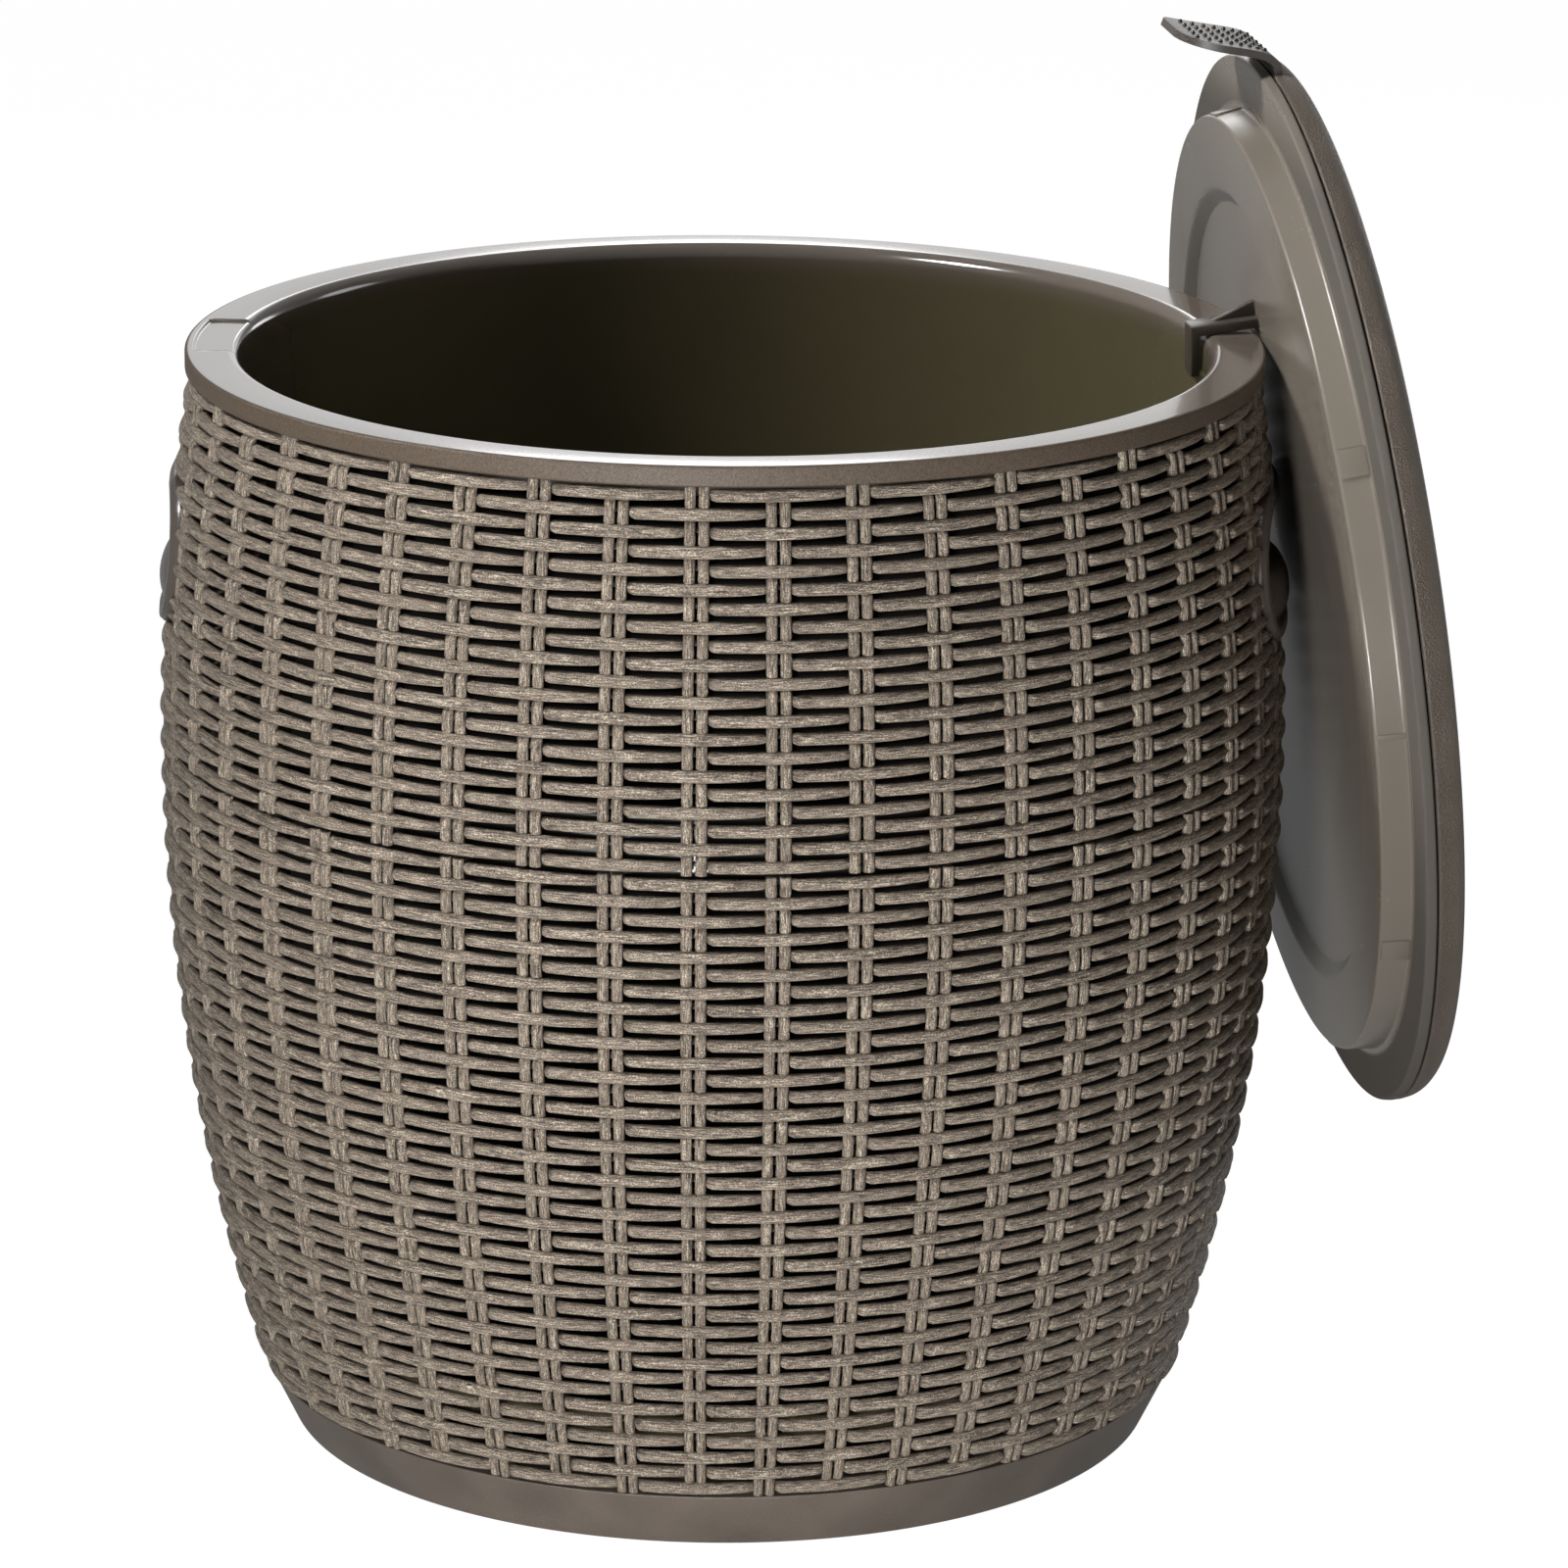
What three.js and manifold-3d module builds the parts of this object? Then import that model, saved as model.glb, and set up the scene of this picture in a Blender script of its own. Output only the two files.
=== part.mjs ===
// Ice bucket coffee table: a moulded wicker-look barrel with a double-walled ice
// bucket inside, and a table-top lid that hangs on the rim by a hook.
// Millimetres, +Z up. The origin is on the floor, on the axis of the barrel.
// The front is towards -Y, the handles lie on the X axis, and the lid hangs at +X.
import * as THREE from 'three';
import { mergeVertices } from 'three/addons/utils/BufferGeometryUtils.js';
import Module from 'manifold-3d';

const wasm = await Module();
wasm.setup();

// Clearances, the same for every seat
const fitGap = 0.3; // between two pieces that touch
const slideGap = 0.4; // between two pieces that slip over each other
const cutOverrun = 2; // how far a cutting tool reaches past what it cuts

// Barrel
const rimHeight = 412; // top of the bucket's rim above the floor
const rimRadius = 200; // outside of the rim
const seamDrop = 145.2; // from the rim's top down to where the two wicker shells meet
const seamBulge = 11.2; // the barrel is widest there, by this much wider than the rim
const shellTopInset = 0.7; // the weave's top stands back from the rim
const shellFootInset = 23.3; // and its foot stands back further
const upperBulgePower = 1.8; // how fast the barrel draws in above the seam
const lowerBulgePower = 2.1; // and below it
const bandHeight = 22; // plain band round the foot

// Weave
const stakePairs = 44; // pairs of upright rods round the barrel
const upperRows = 21; // courses of lying rods above the seam
const lowerRows = 37; // and below it
const upperFirst = 1; // the first course above the seam dives behind the front pair
const lowerFirst = 0; // and the first one above the foot passes over it
const pitDepth = 3.4; // depth of the gap between two courses, midway between two stakes
const stakeInset = 0.7; // where a stake shows, it stands this far back from the rods
const edgeInset = 1.6; // the weave's cut edges stand back from its crests
const shellWall = 6; // from the crest of a rod to the inside of the shell
const collarHeight = 26; // lap collar of the lower shell inside the upper one
const collarDrop = 10; // how far the collar's root lies below the seam
const collarWall = 2.5;

// Bucket
const skirtDrop = 7.5; // height of the rim's outer skirt
const skirtWall = 2.2;
const flangeWall = 3;
const rimCorner = 2.5; // rounding of the rim's outer edge
const rimWidth = 20.4; // from the rim's outside to the bucket's wall
const lipRound = 5; // rounding from the rim into the bucket
const bucketWall = 3;
const bucketFloorHeight = 40; // top of the bucket's floor
const bucketTaper = 13.6; // how much narrower the bucket is above its floor corner
const bucketCorner = 12; // rounding between wall and floor
const recessWidth = 52.5; // finger recess in the rim, below the lid's tab
const recessDepth = 1.5;
const recessMargin = 3.5; // from the recess to the outside of the rim
const recessCorner = 3;
const bossRadius = 6; // screw bosses under the bucket's floor
const bossInset = 46; // from the bucket's foot in to the circle of the bosses
const screwCount = 4;

// Base pan
const bandStep = 2.1; // the band's top stands back from the weave
const bandTaper = 10.6; // and the band draws in this much more to the floor
const footRingWidth = 12;
const panFloorHeight = 4; // underside of the pan's floor
const panWall = 3;
const hubRadius = 30; // bearing boss in the middle of the pan
const spigotWall = 3; // the pan's spigot inside the lower shell
const spigotRise = 10;

// Handle inserts
const handleDrop = 74.5; // from the rim's top down to the middle of the handle
const handleWidth = 111;
const handleTall = 55;
const bezelWidth = 5.5;
const bezelProud = 1.2; // how far the bezel stands out of the weave
const bezelStep = 2.2; // how far the face inside the bezel is sunk
const insertWall = 2.4;
const pocketEndInset = 11.5; // from the handle's end in to the finger pocket's end
const pocketTopInset = 7; // from the handle's top down to the pocket
const pocketTall = 23;
const pocketInset = 12.5; // from the rim's outside in to the back of the pocket
const hoodEndInset = 9.5; // from the handle's end in to the hood's end
const hoodFootInset = 1; // from the handle's foot up to the hood
const hoodHalfTall = 13.5;
const hoodProud = 2.5; // how far the hood stands out of the weave
const hoodFacets = 12;
const handleCornerSteps = 3;

// Drain
const drainOffset = 62; // from the barrel's axis towards the back
const drainTubeRadius = 12;
const drainBoreRadius = 8.5;
const drainFlangeRadius = 18;
const drainFlangeWall = 2.6;
const gasketWall = 1.6;
const drainNutRadius = 19;
const drainNutTall = 6.5;
const drainTubeFoot = 2.5; // lowest point of the drain tube
const plugHeadRadius = 13;
const plugHeadTall = 4;
const plugShankLength = 16;
const plugGripTall = 9;
const plugGripWidth = 16;
const plugGripWall = 4;
const sealRadius = 1.1; // half the thickness of the O-ring
const sealArc = 300; // degrees of its section, closed by a flat inside

// Base screws
const screwHeadRadius = 4.5;
const screwHeadTall = 2.4;
const screwShankRadius = 2.1;
const screwLength = 16;

// Insulation
const sleeveGap = 5; // from the shell's inside to the sleeve
const sleeveFootHeight = 54;
const sleeveTopDrop = 12; // from the rim's top down to the sleeve's top
const discInset = 14; // from the pan's foot in to the insulation disc

// Lid, in its own frame: closed, the flange's underside lies at height 0,
// and the hook and the tab are towards -X.
const lidLip = 3.4; // rounding of the underside's edge
const lidSeam = 4.2; // height of the seam between the two lid shells
const lidSeamGap = 0.6;
const lidTopHeight = 16.6;
const lidCrown = 0.8; // how much the middle of the table top stands higher
const lidTopRound = 9; // rounding of the table top's edge
const lidTopSetback = 7.3; // how far that rounding draws the edge in
const lidRoundShares = [0, 0.35, 0.7, 1]; // its points, as shares of a quarter turn
const lidWall = 2.6;
const spigotRingInset = 5.6; // outer face of the top shell's locating ring
const spigotRingWall = 2.4;
const plugInset = 22; // from the lid's edge in to its plug
const plugDraft = 1.5;
const plugDepth = 11.5;
const plugCorner = 1.3;
const dishInset = 28; // from the plug's edge in to the shallow recess in its face
const dishDepth = 5;
const dishSlope = 4;
const keyWidth = 11; // keys on the plug's side
const keyProud = 0.9;
const keyTurns = [-8, 62, 125, 172, 235, 298]; // degrees round from the tab
const lidCoreGap = 2;

// Hook under the lid
const hookReach = 22.7; // from the dish's floor to the leg
const hookSeat = 100.5; // from the lid's middle to the face that rests on the rim
const hookWidth = 13;
const hookThickness = 4;
const legThickness = 3.2;
const legLength = 15;
const legCorner = 1.4;
const gussetRise = 6;
const gussetReach = 17;
const gussetWall = 3.2;

// Tab of the lid
const tabWidth = 50;
const tabWall = 2.8;
const tabRootLength = 20; // what the lid's shells hold
const tabHeight = 6.6; // middle of the root above the flange
const tabDrop = 28; // how far the tip hangs below the flange
const tabFlare = 17; // how far the tip stands out of the lid's edge
const tabWaistShares = [0.45, 0.35]; // where the bend flattens out, of the flare and of the drop
const tabCorner = 12;
const tabSeatWidth = 36;
const tabSeatLength = 10;

// How the lid hangs
const hangTurn = THREE.MathUtils.degToRad(10.5); // from the right handle towards the back
const hangLean = THREE.MathUtils.degToRad(7.25); // the lid's foot stands away from the barrel
const legGap = 0.5; // from the hook's leg to the bucket's wall

// Heights that follow
const skirtFootHeight = rimHeight - skirtDrop;
const seamHeight = rimHeight - seamDrop;
const handleHeight = rimHeight - handleDrop;
const shellTopHeight = skirtFootHeight - fitGap;
const shellFootHeight = bandHeight + fitGap;
const bucketUnderside = bucketFloorHeight - bucketWall;
const panFloorTop = panFloorHeight + panWall;
const bossFoot = panFloorTop + fitGap;
const collarTop = seamHeight + collarHeight;
const pocketHeight = handleHeight + handleTall / 2 - pocketTopInset - pocketTall / 2;
const hoodHeight = handleHeight - handleTall / 2 + hoodFootInset + hoodHalfTall;

// Radii that follow
const seamRadius = rimRadius + seamBulge;
const shellTopRadius = rimRadius - shellTopInset;
const shellFootRadius = rimRadius - shellFootInset;
const neckRadius = rimRadius - skirtWall - fitGap; // the upper shell's neck stands inside the skirt
const mouthRadius = rimRadius - rimWidth; // inside of the bucket below its lip
const bucketFootRadius = mouthRadius - bucketTaper;
const bossCircle = bucketFootRadius - bossInset;
const bandTopRadius = shellFootRadius - bandStep;
const footRadius = bandTopRadius - bandTaper;
const foamDiscRadius = footRadius - discInset;
const pocketFloorRadius = rimRadius - pocketInset;
const pocketWidth = handleWidth - 2 * pocketEndInset;
const hoodHalfWidth = handleWidth / 2 - hoodEndInset;
const lidRadius = rimRadius; // closed, the lid lies flush with the rim
const plugRadius = lidRadius - plugInset;
const dishRadius = plugRadius - dishInset;

const turnSegments = stakePairs; // nested walls share their facets, so that gaps stay even
const smallSegments = 12;
const lidSegments = 36;

// Shape helpers

// Merges a geometry's vertices by place, drops flat triangles and turns the faces out.
function welded(geometry) {
  geometry.deleteAttribute('normal');
  geometry.deleteAttribute('uv');
  const merged = mergeVertices(geometry);
  const corners = merged.getAttribute('position');
  const index = merged.getIndex().array;
  const kept = [];
  let volume = 0;
  const [a, b, c] = [new THREE.Vector3(), new THREE.Vector3(), new THREE.Vector3()];
  for (let i = 0; i < index.length; i += 3) {
    const [i0, i1, i2] = [index[i], index[i + 1], index[i + 2]];
    if (i0 === i1 || i1 === i2 || i2 === i0) continue;
    kept.push(i0, i1, i2);
    a.fromBufferAttribute(corners, i0);
    b.fromBufferAttribute(corners, i1);
    c.fromBufferAttribute(corners, i2);
    volume += a.dot(b.cross(c));
  }
  if (volume < 0) {
    for (let i = 0; i < kept.length; i += 3) {
      [kept[i], kept[i + 1]] = [kept[i + 1], kept[i]];
    }
  }
  merged.setIndex(kept);
  return merged;
}

// Turns a profile of [radius, height] points round the Z axis. A profile that
// doesn't begin and end on the axis closes on itself.
function revolve(profile, segments = turnSegments) {
  const points = profile.map(([radius, height]) => new THREE.Vector2(radius, height));
  const onAxis = points[0].x === 0 && points[points.length - 1].x === 0;
  if (!onAxis) points.push(points[0].clone());
  const geometry = new THREE.LatheGeometry(points, segments);
  geometry.rotateX(Math.PI / 2);
  return welded(geometry);
}

function cylinder(radius, bottom, top, segments = smallSegments) {
  return revolve([[0, bottom], [radius, bottom], [radius, top], [0, top]], segments);
}

// A quarter-round corner as points, from one direction to another, in degrees.
function arc(centreRadius, centreHeight, radius, from, to, steps = 3) {
  const points = [];
  for (let step = 0; step <= steps; step += 1) {
    const angle = THREE.MathUtils.degToRad(from + ((to - from) * step) / steps);
    points.push([centreRadius + radius * Math.cos(angle), centreHeight + radius * Math.sin(angle)]);
  }
  return points;
}

function toSolid(geometry) {
  const mesh = new wasm.Mesh({
    numProp: 3,
    vertProperties: new Float32Array(geometry.getAttribute('position').array),
    triVerts: new Uint32Array(geometry.getIndex().array),
  });
  return new wasm.Manifold(mesh);
}

function toGeometry(solid) {
  const mesh = solid.getMesh();
  const geometry = new THREE.BufferGeometry();
  geometry.setAttribute('position', new THREE.BufferAttribute(mesh.vertProperties, 3));
  geometry.setIndex(new THREE.BufferAttribute(mesh.triVerts, 1));
  return geometry;
}

// A flat outline with straight depth, its outline's axes along two world axes.
function prism(shape, depth, xAxis, yAxis, place, curveSteps = 6) {
  const options = { depth, bevelEnabled: false, curveSegments: curveSteps };
  const geometry = new THREE.ExtrudeGeometry(shape, options);
  const zAxis = new THREE.Vector3().crossVectors(xAxis, yAxis);
  geometry.applyMatrix4(new THREE.Matrix4().makeBasis(xAxis, yAxis, zAxis));
  geometry.translate(place.x, place.y, place.z);
  return welded(geometry);
}

const axisX = new THREE.Vector3(1, 0, 0);
const axisY = new THREE.Vector3(0, 1, 0);
const axisZ = new THREE.Vector3(0, 0, 1);

function roundedRectangle(width, height, corner) {
  const [x, y] = [width / 2, height / 2];
  const shape = new THREE.Shape();
  shape.moveTo(-x + corner, -y);
  shape.lineTo(x - corner, -y);
  shape.absarc(x - corner, -y + corner, corner, -Math.PI / 2, 0, false);
  shape.lineTo(x, y - corner);
  shape.absarc(x - corner, y - corner, corner, 0, Math.PI / 2, false);
  shape.lineTo(-x + corner, y);
  shape.absarc(-x + corner, y - corner, corner, Math.PI / 2, Math.PI, false);
  shape.lineTo(-x, -y + corner);
  shape.absarc(-x + corner, -y + corner, corner, Math.PI, Math.PI * 1.5, false);
  return shape;
}

function outline(points) {
  return new THREE.Shape(points.map(([x, y]) => new THREE.Vector2(x, y)));
}

// Outside of the barrel's weave at a height above the floor.
function barrelRadius(height) {
  const above = height > seamHeight;
  const span = above ? shellTopHeight - seamHeight : seamHeight - shellFootHeight;
  const drop = seamRadius - (above ? shellTopRadius : shellFootRadius);
  const share = Math.abs(height - seamHeight) / span;
  return seamRadius - drop * share ** (above ? upperBulgePower : lowerBulgePower);
}

// Inside of the bucket at a height above its floor corner.
function bucketRadius(height) {
  const low = bucketFloorHeight + bucketCorner;
  const high = rimHeight - lipRound;
  const share = (height - low) / (high - low);
  return bucketFootRadius + (mouthRadius - bucketFootRadius) * share;
}

// Wicker shells

// A ring of points at one height, one for each stake pair, with a radius for each.
// It can be turned on by a share of the way to the next pair.
function ring(height, radiusAt, turnShare = 0) {
  const points = [];
  for (let stake = 0; stake < stakePairs; stake += 1) {
    const turn = ((stake + turnShare) / stakePairs) * Math.PI * 2;
    const radius = radiusAt(stake);
    points.push([radius * Math.sin(turn), -radius * Math.cos(turn), height]);
  }
  return points;
}

// Joins rings of equal size to a closed tube. Each ring meets the next, and the last the first.
// Where a level has a ring of pits, each of its quads gets a sunk middle point.
function loftRings(rings, pits) {
  const size = rings[0].length;
  const points = rings.flat();
  const index = [];
  rings.forEach((_, level) => {
    const next = (level + 1) % rings.length;
    for (let i = 0; i < size; i += 1) {
      const j = (i + 1) % size;
      const [a, b] = [level * size + i, level * size + j];
      const [c, d] = [next * size + j, next * size + i];
      if (pits[level]) {
        const middle = points.push(pits[level][i]) - 1;
        index.push(a, b, middle, b, c, middle, c, d, middle, d, a, middle);
      } else {
        index.push(a, b, c, a, c, d);
      }
    }
  });
  const geometry = new THREE.BufferGeometry();
  geometry.setAttribute('position', new THREE.Float32BufferAttribute(points.flat(), 3));
  geometry.setIndex(index);
  return welded(geometry);
}

// One wicker shell. Each lying rod passes over every other stake pair, the next
// course does the opposite, and a pit opens between the courses and the stakes.
function wickerShell(foot, top, rows, first, innerProfile) {
  const pitch = (top - foot) / rows;
  const edge = (height) => ring(height, () => barrelRadius(height) - edgeInset);
  const rings = [edge(foot)];
  const pits = [];
  for (let row = 0; row < rows; row += 1) {
    const height = foot + pitch * (row + 0.5);
    const pitHeight = height + pitch / 2;
    const pitRadius = barrelRadius(pitHeight) - pitDepth;
    rings.push(ring(height, (stake) => {
      const over = (row + stake + first) % 2 === 0;
      return barrelRadius(height) - (over ? 0 : stakeInset);
    }));
    if (row < rows - 1) pits[rings.length - 1] = ring(pitHeight, () => pitRadius, 0.5);
  }
  rings.push(edge(top));
  for (const [radius, height] of innerProfile) {
    rings.push(ring(height, () => radius));
  }
  return loftRings(rings, pits);
}

// Inside wall of a shell between two heights, as [radius, height] points.
function insideWall(from, to, steps, inset = shellWall) {
  const points = [];
  for (let step = 0; step <= steps; step += 1) {
    const height = from + ((to - from) * step) / steps;
    points.push([barrelRadius(height) - inset, height]);
  }
  return points;
}

function upperShell() {
  const foot = seamHeight + fitGap / 2;
  const neckTop = rimHeight - flangeWall - fitGap;
  const inner = [
    [neckRadius, shellTopHeight],
    [neckRadius, neckTop],
    [shellTopRadius - shellWall, neckTop],
    ...insideWall(shellTopHeight, collarTop, 1),
    [barrelRadius(foot) - shellWall, foot],
  ];
  let shell = toSolid(wickerShell(foot, shellTopHeight, upperRows, upperFirst, inner));
  for (const side of [0, Math.PI]) {
    shell = shell.subtract(toSolid(handlePrism(slideGap, 0, seamRadius).rotateZ(side)));
  }
  return toGeometry(shell);
}

function lowerShell() {
  const top = seamHeight - fitGap / 2;
  const collarRoot = seamHeight - collarDrop;
  const lap = shellWall + fitGap;
  const collar = [
    [barrelRadius(top) - lap, top],
    [barrelRadius(collarTop) - lap, collarTop],
    [barrelRadius(collarTop) - lap - collarWall, collarTop],
    [barrelRadius(top) - lap - collarWall, top],
    [barrelRadius(collarRoot) - shellWall, collarRoot],
  ];
  const inner = [...collar, ...insideWall(collarRoot, shellFootHeight, 3).slice(1)];
  return wickerShell(shellFootHeight, top, lowerRows, lowerFirst, inner);
}

// Handles

// The handle's outline grown by a margin, as a prism along X between two radii.
function handlePrism(margin, from, to) {
  const [width, tall] = [handleWidth + 2 * margin, handleTall + 2 * margin];
  const shape = roundedRectangle(width, tall, tall / 2 - fitGap);
  const place = new THREE.Vector3(from, 0, handleHeight);
  return prism(shape, to - from + cutOverrun, axisY, axisZ, place, handleCornerSteps);
}

// Everything inside the barrel's surface round the handle, grown by an offset.
function barrelCore(offset) {
  const low = handleHeight - handleTall;
  const high = Math.min(handleHeight + handleTall, shellTopHeight);
  const steps = 4;
  const side = [];
  for (let step = 0; step <= steps; step += 1) {
    const height = low + ((high - low) * step) / steps;
    side.push([barrelRadius(height) + offset, height]);
  }
  return toSolid(revolve([[0, low], ...side, [0, high]]));
}

function handleInsert() {
  const inside = toSolid(handlePrism(-bezelWidth, pocketFloorRadius, seamRadius + hoodProud));
  const plate = toSolid(handlePrism(0, pocketFloorRadius - insertWall, seamRadius + bezelProud))
    .intersect(barrelCore(bezelProud))
    .subtract(barrelCore(-bezelStep - insertWall));
  const sunkFace = inside.subtract(barrelCore(-bezelStep));
  const pocketPlace = new THREE.Vector3(pocketFloorRadius, 0, pocketHeight);
  const cupPlace = new THREE.Vector3(pocketFloorRadius - insertWall, 0, pocketHeight);
  const pocketShape = roundedRectangle(pocketWidth, pocketTall, pocketTall / 2 - fitGap);
  const cupShape = roundedRectangle(
    pocketWidth + 2 * insertWall,
    pocketTall + 2 * insertWall,
    pocketTall / 2 + insertWall - fitGap,
  );
  const reach = seamRadius - pocketFloorRadius + cutOverrun;
  const pocket = toSolid(prism(pocketShape, reach, axisY, axisZ, pocketPlace, handleCornerSteps));
  const cup = toSolid(prism(cupShape, reach, axisY, axisZ, cupPlace, handleCornerSteps))
    .intersect(barrelCore(-bezelStep));
  // The hood's widest section lies inside the plate, also at its two ends.
  const hoodRadius = barrelRadius(hoodHeight);
  const hoodMiddle = Math.sqrt(hoodRadius ** 2 - hoodHalfWidth ** 2) - bezelStep - insertWall / 2;
  const hoodGeometry = new THREE.SphereGeometry(1, hoodFacets, hoodFacets / 2);
  hoodGeometry.scale(hoodRadius + hoodProud - hoodMiddle, hoodHalfWidth, hoodHalfTall);
  hoodGeometry.translate(hoodMiddle, 0, hoodHeight);
  const hoodMargin = fitGap - bezelWidth;
  const hood = toSolid(welded(hoodGeometry))
    .intersect(toSolid(handlePrism(hoodMargin, pocketFloorRadius, seamRadius + hoodProud)))
    .subtract(barrelCore(-bezelStep - insertWall / 2));
  return toGeometry(plate.subtract(sunkFace).add(cup).add(hood).subtract(pocket));
}

// Bucket

function bucketBlank() {
  const low = bucketFloorHeight + bucketCorner;
  const lipFoot = rimHeight - lipRound;
  const outer = (height) => bucketRadius(height) + bucketWall;
  const profile = [
    [0, bucketFloorHeight],
    ...arc(bucketFootRadius - bucketCorner, low, bucketCorner, -90, 0, 2),
    ...arc(mouthRadius + lipRound, lipFoot, lipRound, 180, 90, 2),
    ...arc(rimRadius - rimCorner, rimHeight - rimCorner, rimCorner, 90, 0, 2),
    [rimRadius, skirtFootHeight],
    [rimRadius - skirtWall, skirtFootHeight],
    [rimRadius - skirtWall, rimHeight - flangeWall],
    [mouthRadius + lipRound, rimHeight - flangeWall],
    [outer(lipFoot - lipRound), lipFoot - lipRound],
    ...arc(bucketFootRadius - bucketCorner, low, bucketCorner + bucketWall, 0, -90, 1),
    [0, bucketUnderside],
  ];
  return toSolid(revolve(profile));
}

function aroundAxis(radius, turn) {
  return [radius * Math.cos(turn), radius * Math.sin(turn)];
}

function screwTurn(number) {
  return ((number + 0.5) / screwCount) * Math.PI * 2;
}

function bucket() {
  let body = bucketBlank();
  for (let number = 0; number < screwCount; number += 1) {
    const [x, y] = aroundAxis(bossCircle, screwTurn(number));
    const boss = cylinder(bossRadius, bossFoot, bucketUnderside + bucketWall / 2);
    const bore = cylinder(screwShankRadius + fitGap, bossFoot - cutOverrun, bossFoot + screwLength);
    body = body.add(toSolid(boss.translate(x, y, 0)));
    body = body.subtract(toSolid(bore.translate(x, y, 0)));
  }
  const drainHole = cylinder(drainTubeRadius + fitGap, bucketUnderside - cutOverrun,
    bucketFloorHeight + cutOverrun);
  body = body.subtract(toSolid(drainHole.translate(0, drainOffset, 0)));
  const [near, far] = [mouthRadius - cutOverrun, rimRadius - recessMargin];
  const recessShape = roundedRectangle(far - near, recessWidth, recessCorner);
  const recessPlace = new THREE.Vector3(-(near + far) / 2, 0, rimHeight - recessDepth);
  const recess = prism(recessShape, recessDepth + cutOverrun, axisX, axisY, recessPlace, 3);
  return toGeometry(body.subtract(toSolid(recess)));
}

// Base pan

function basePan() {
  const ringInside = footRadius - footRingWidth;
  const spigotTop = bandHeight + spigotRise;
  const spigotRadius = barrelRadius(shellFootHeight) - shellWall - slideGap;
  const spigotInside = spigotRadius - spigotWall;
  const profile = [
    [0, 0],
    [hubRadius, 0],
    [hubRadius, panFloorHeight],
    [ringInside, panFloorHeight],
    [ringInside, 0],
    [footRadius, 0],
    [bandTopRadius, bandHeight - rimCorner / 2],
    [bandTopRadius - rimCorner / 2, bandHeight],
    [spigotRadius, bandHeight],
    [spigotRadius, spigotTop],
    [spigotInside, spigotTop],
    [spigotInside - spigotWall, panFloorTop],
    [0, panFloorTop],
  ];
  let pan = toSolid(revolve(profile));
  const drainHole = cylinder(drainTubeRadius + fitGap, -cutOverrun, panFloorTop + cutOverrun);
  pan = pan.subtract(toSolid(drainHole.translate(0, drainOffset, 0)));
  for (let number = 0; number < screwCount; number += 1) {
    const [x, y] = aroundAxis(bossCircle, screwTurn(number));
    const hole = cylinder(screwShankRadius + fitGap, -cutOverrun, panFloorTop + cutOverrun);
    pan = pan.subtract(toSolid(hole.translate(x, y, 0)));
  }
  return toGeometry(pan);
}

function baseScrew() {
  const headTop = panFloorHeight - fitGap;
  const profile = [
    [0, headTop - screwHeadTall],
    [screwHeadRadius - screwHeadTall / 2, headTop - screwHeadTall],
    [screwHeadRadius, headTop - screwHeadTall / 2],
    [screwHeadRadius, headTop],
    [screwShankRadius, headTop],
    [screwShankRadius, headTop + screwLength - screwShankRadius],
    [0, headTop + screwLength],
  ];
  return revolve(profile, smallSegments);
}

// Insulation

function insulationSleeve() {
  const top = rimHeight - sleeveTopDrop;
  const steps = 3;
  const inner = (height) => bucketRadius(height) + bucketWall + slideGap;
  const profile = [
    [inner(top), top],
    [inner(sleeveFootHeight), sleeveFootHeight],
    ...insideWall(sleeveFootHeight, top, steps, shellWall + sleeveGap),
  ];
  let sleeve = toSolid(revolve(profile));
  for (const side of [0, Math.PI]) {
    sleeve = sleeve.subtract(toSolid(handlePrism(slideGap, 0, seamRadius).rotateZ(side)));
  }
  return toGeometry(sleeve);
}

function insulationDisc() {
  const [low, high] = [panFloorTop + fitGap, bucketUnderside - fitGap];
  let disc = toSolid(cylinder(foamDiscRadius, low, high, turnSegments));
  const drainHole = cylinder(drainNutRadius + slideGap, low - cutOverrun, high + cutOverrun);
  disc = disc.subtract(toSolid(drainHole.translate(0, drainOffset, 0)));
  for (let number = 0; number < screwCount; number += 1) {
    const [x, y] = aroundAxis(bossCircle, screwTurn(number));
    const hole = cylinder(bossRadius + fitGap, low - cutOverrun, high + cutOverrun);
    disc = disc.subtract(toSolid(hole.translate(x, y, 0)));
  }
  return toGeometry(disc);
}

// Drain, built round the Z axis and moved to its place

const gasketFoot = bucketFloorHeight + fitGap;
const drainFlangeFoot = gasketFoot + gasketWall + fitGap;
const drainFlangeTop = drainFlangeFoot + drainFlangeWall;
const nutTop = bucketUnderside - fitGap;

function drainFitting() {
  return revolve([
    [drainBoreRadius, drainTubeFoot],
    [drainTubeRadius, drainTubeFoot],
    [drainTubeRadius, drainFlangeFoot],
    [drainFlangeRadius, drainFlangeFoot],
    [drainFlangeRadius, drainFlangeTop - drainFlangeWall / 2],
    [drainFlangeRadius - drainFlangeWall / 2, drainFlangeTop],
    [drainBoreRadius, drainFlangeTop],
  ], smallSegments);
}

function drainGasket() {
  return revolve([
    [drainTubeRadius + fitGap, gasketFoot],
    [drainFlangeRadius - fitGap, gasketFoot],
    [drainFlangeRadius - fitGap, gasketFoot + gasketWall],
    [drainTubeRadius + fitGap, gasketFoot + gasketWall],
  ], smallSegments);
}

// The nut is round inside and has six flats outside.
function drainNut() {
  const nutFoot = nutTop - drainNutTall;
  const bore = cylinder(drainTubeRadius + fitGap, nutFoot - cutOverrun, nutTop + cutOverrun);
  const hexagon = cylinder(drainNutRadius, nutFoot, nutTop, 6);
  return toGeometry(toSolid(hexagon).subtract(toSolid(bore)));
}

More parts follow.
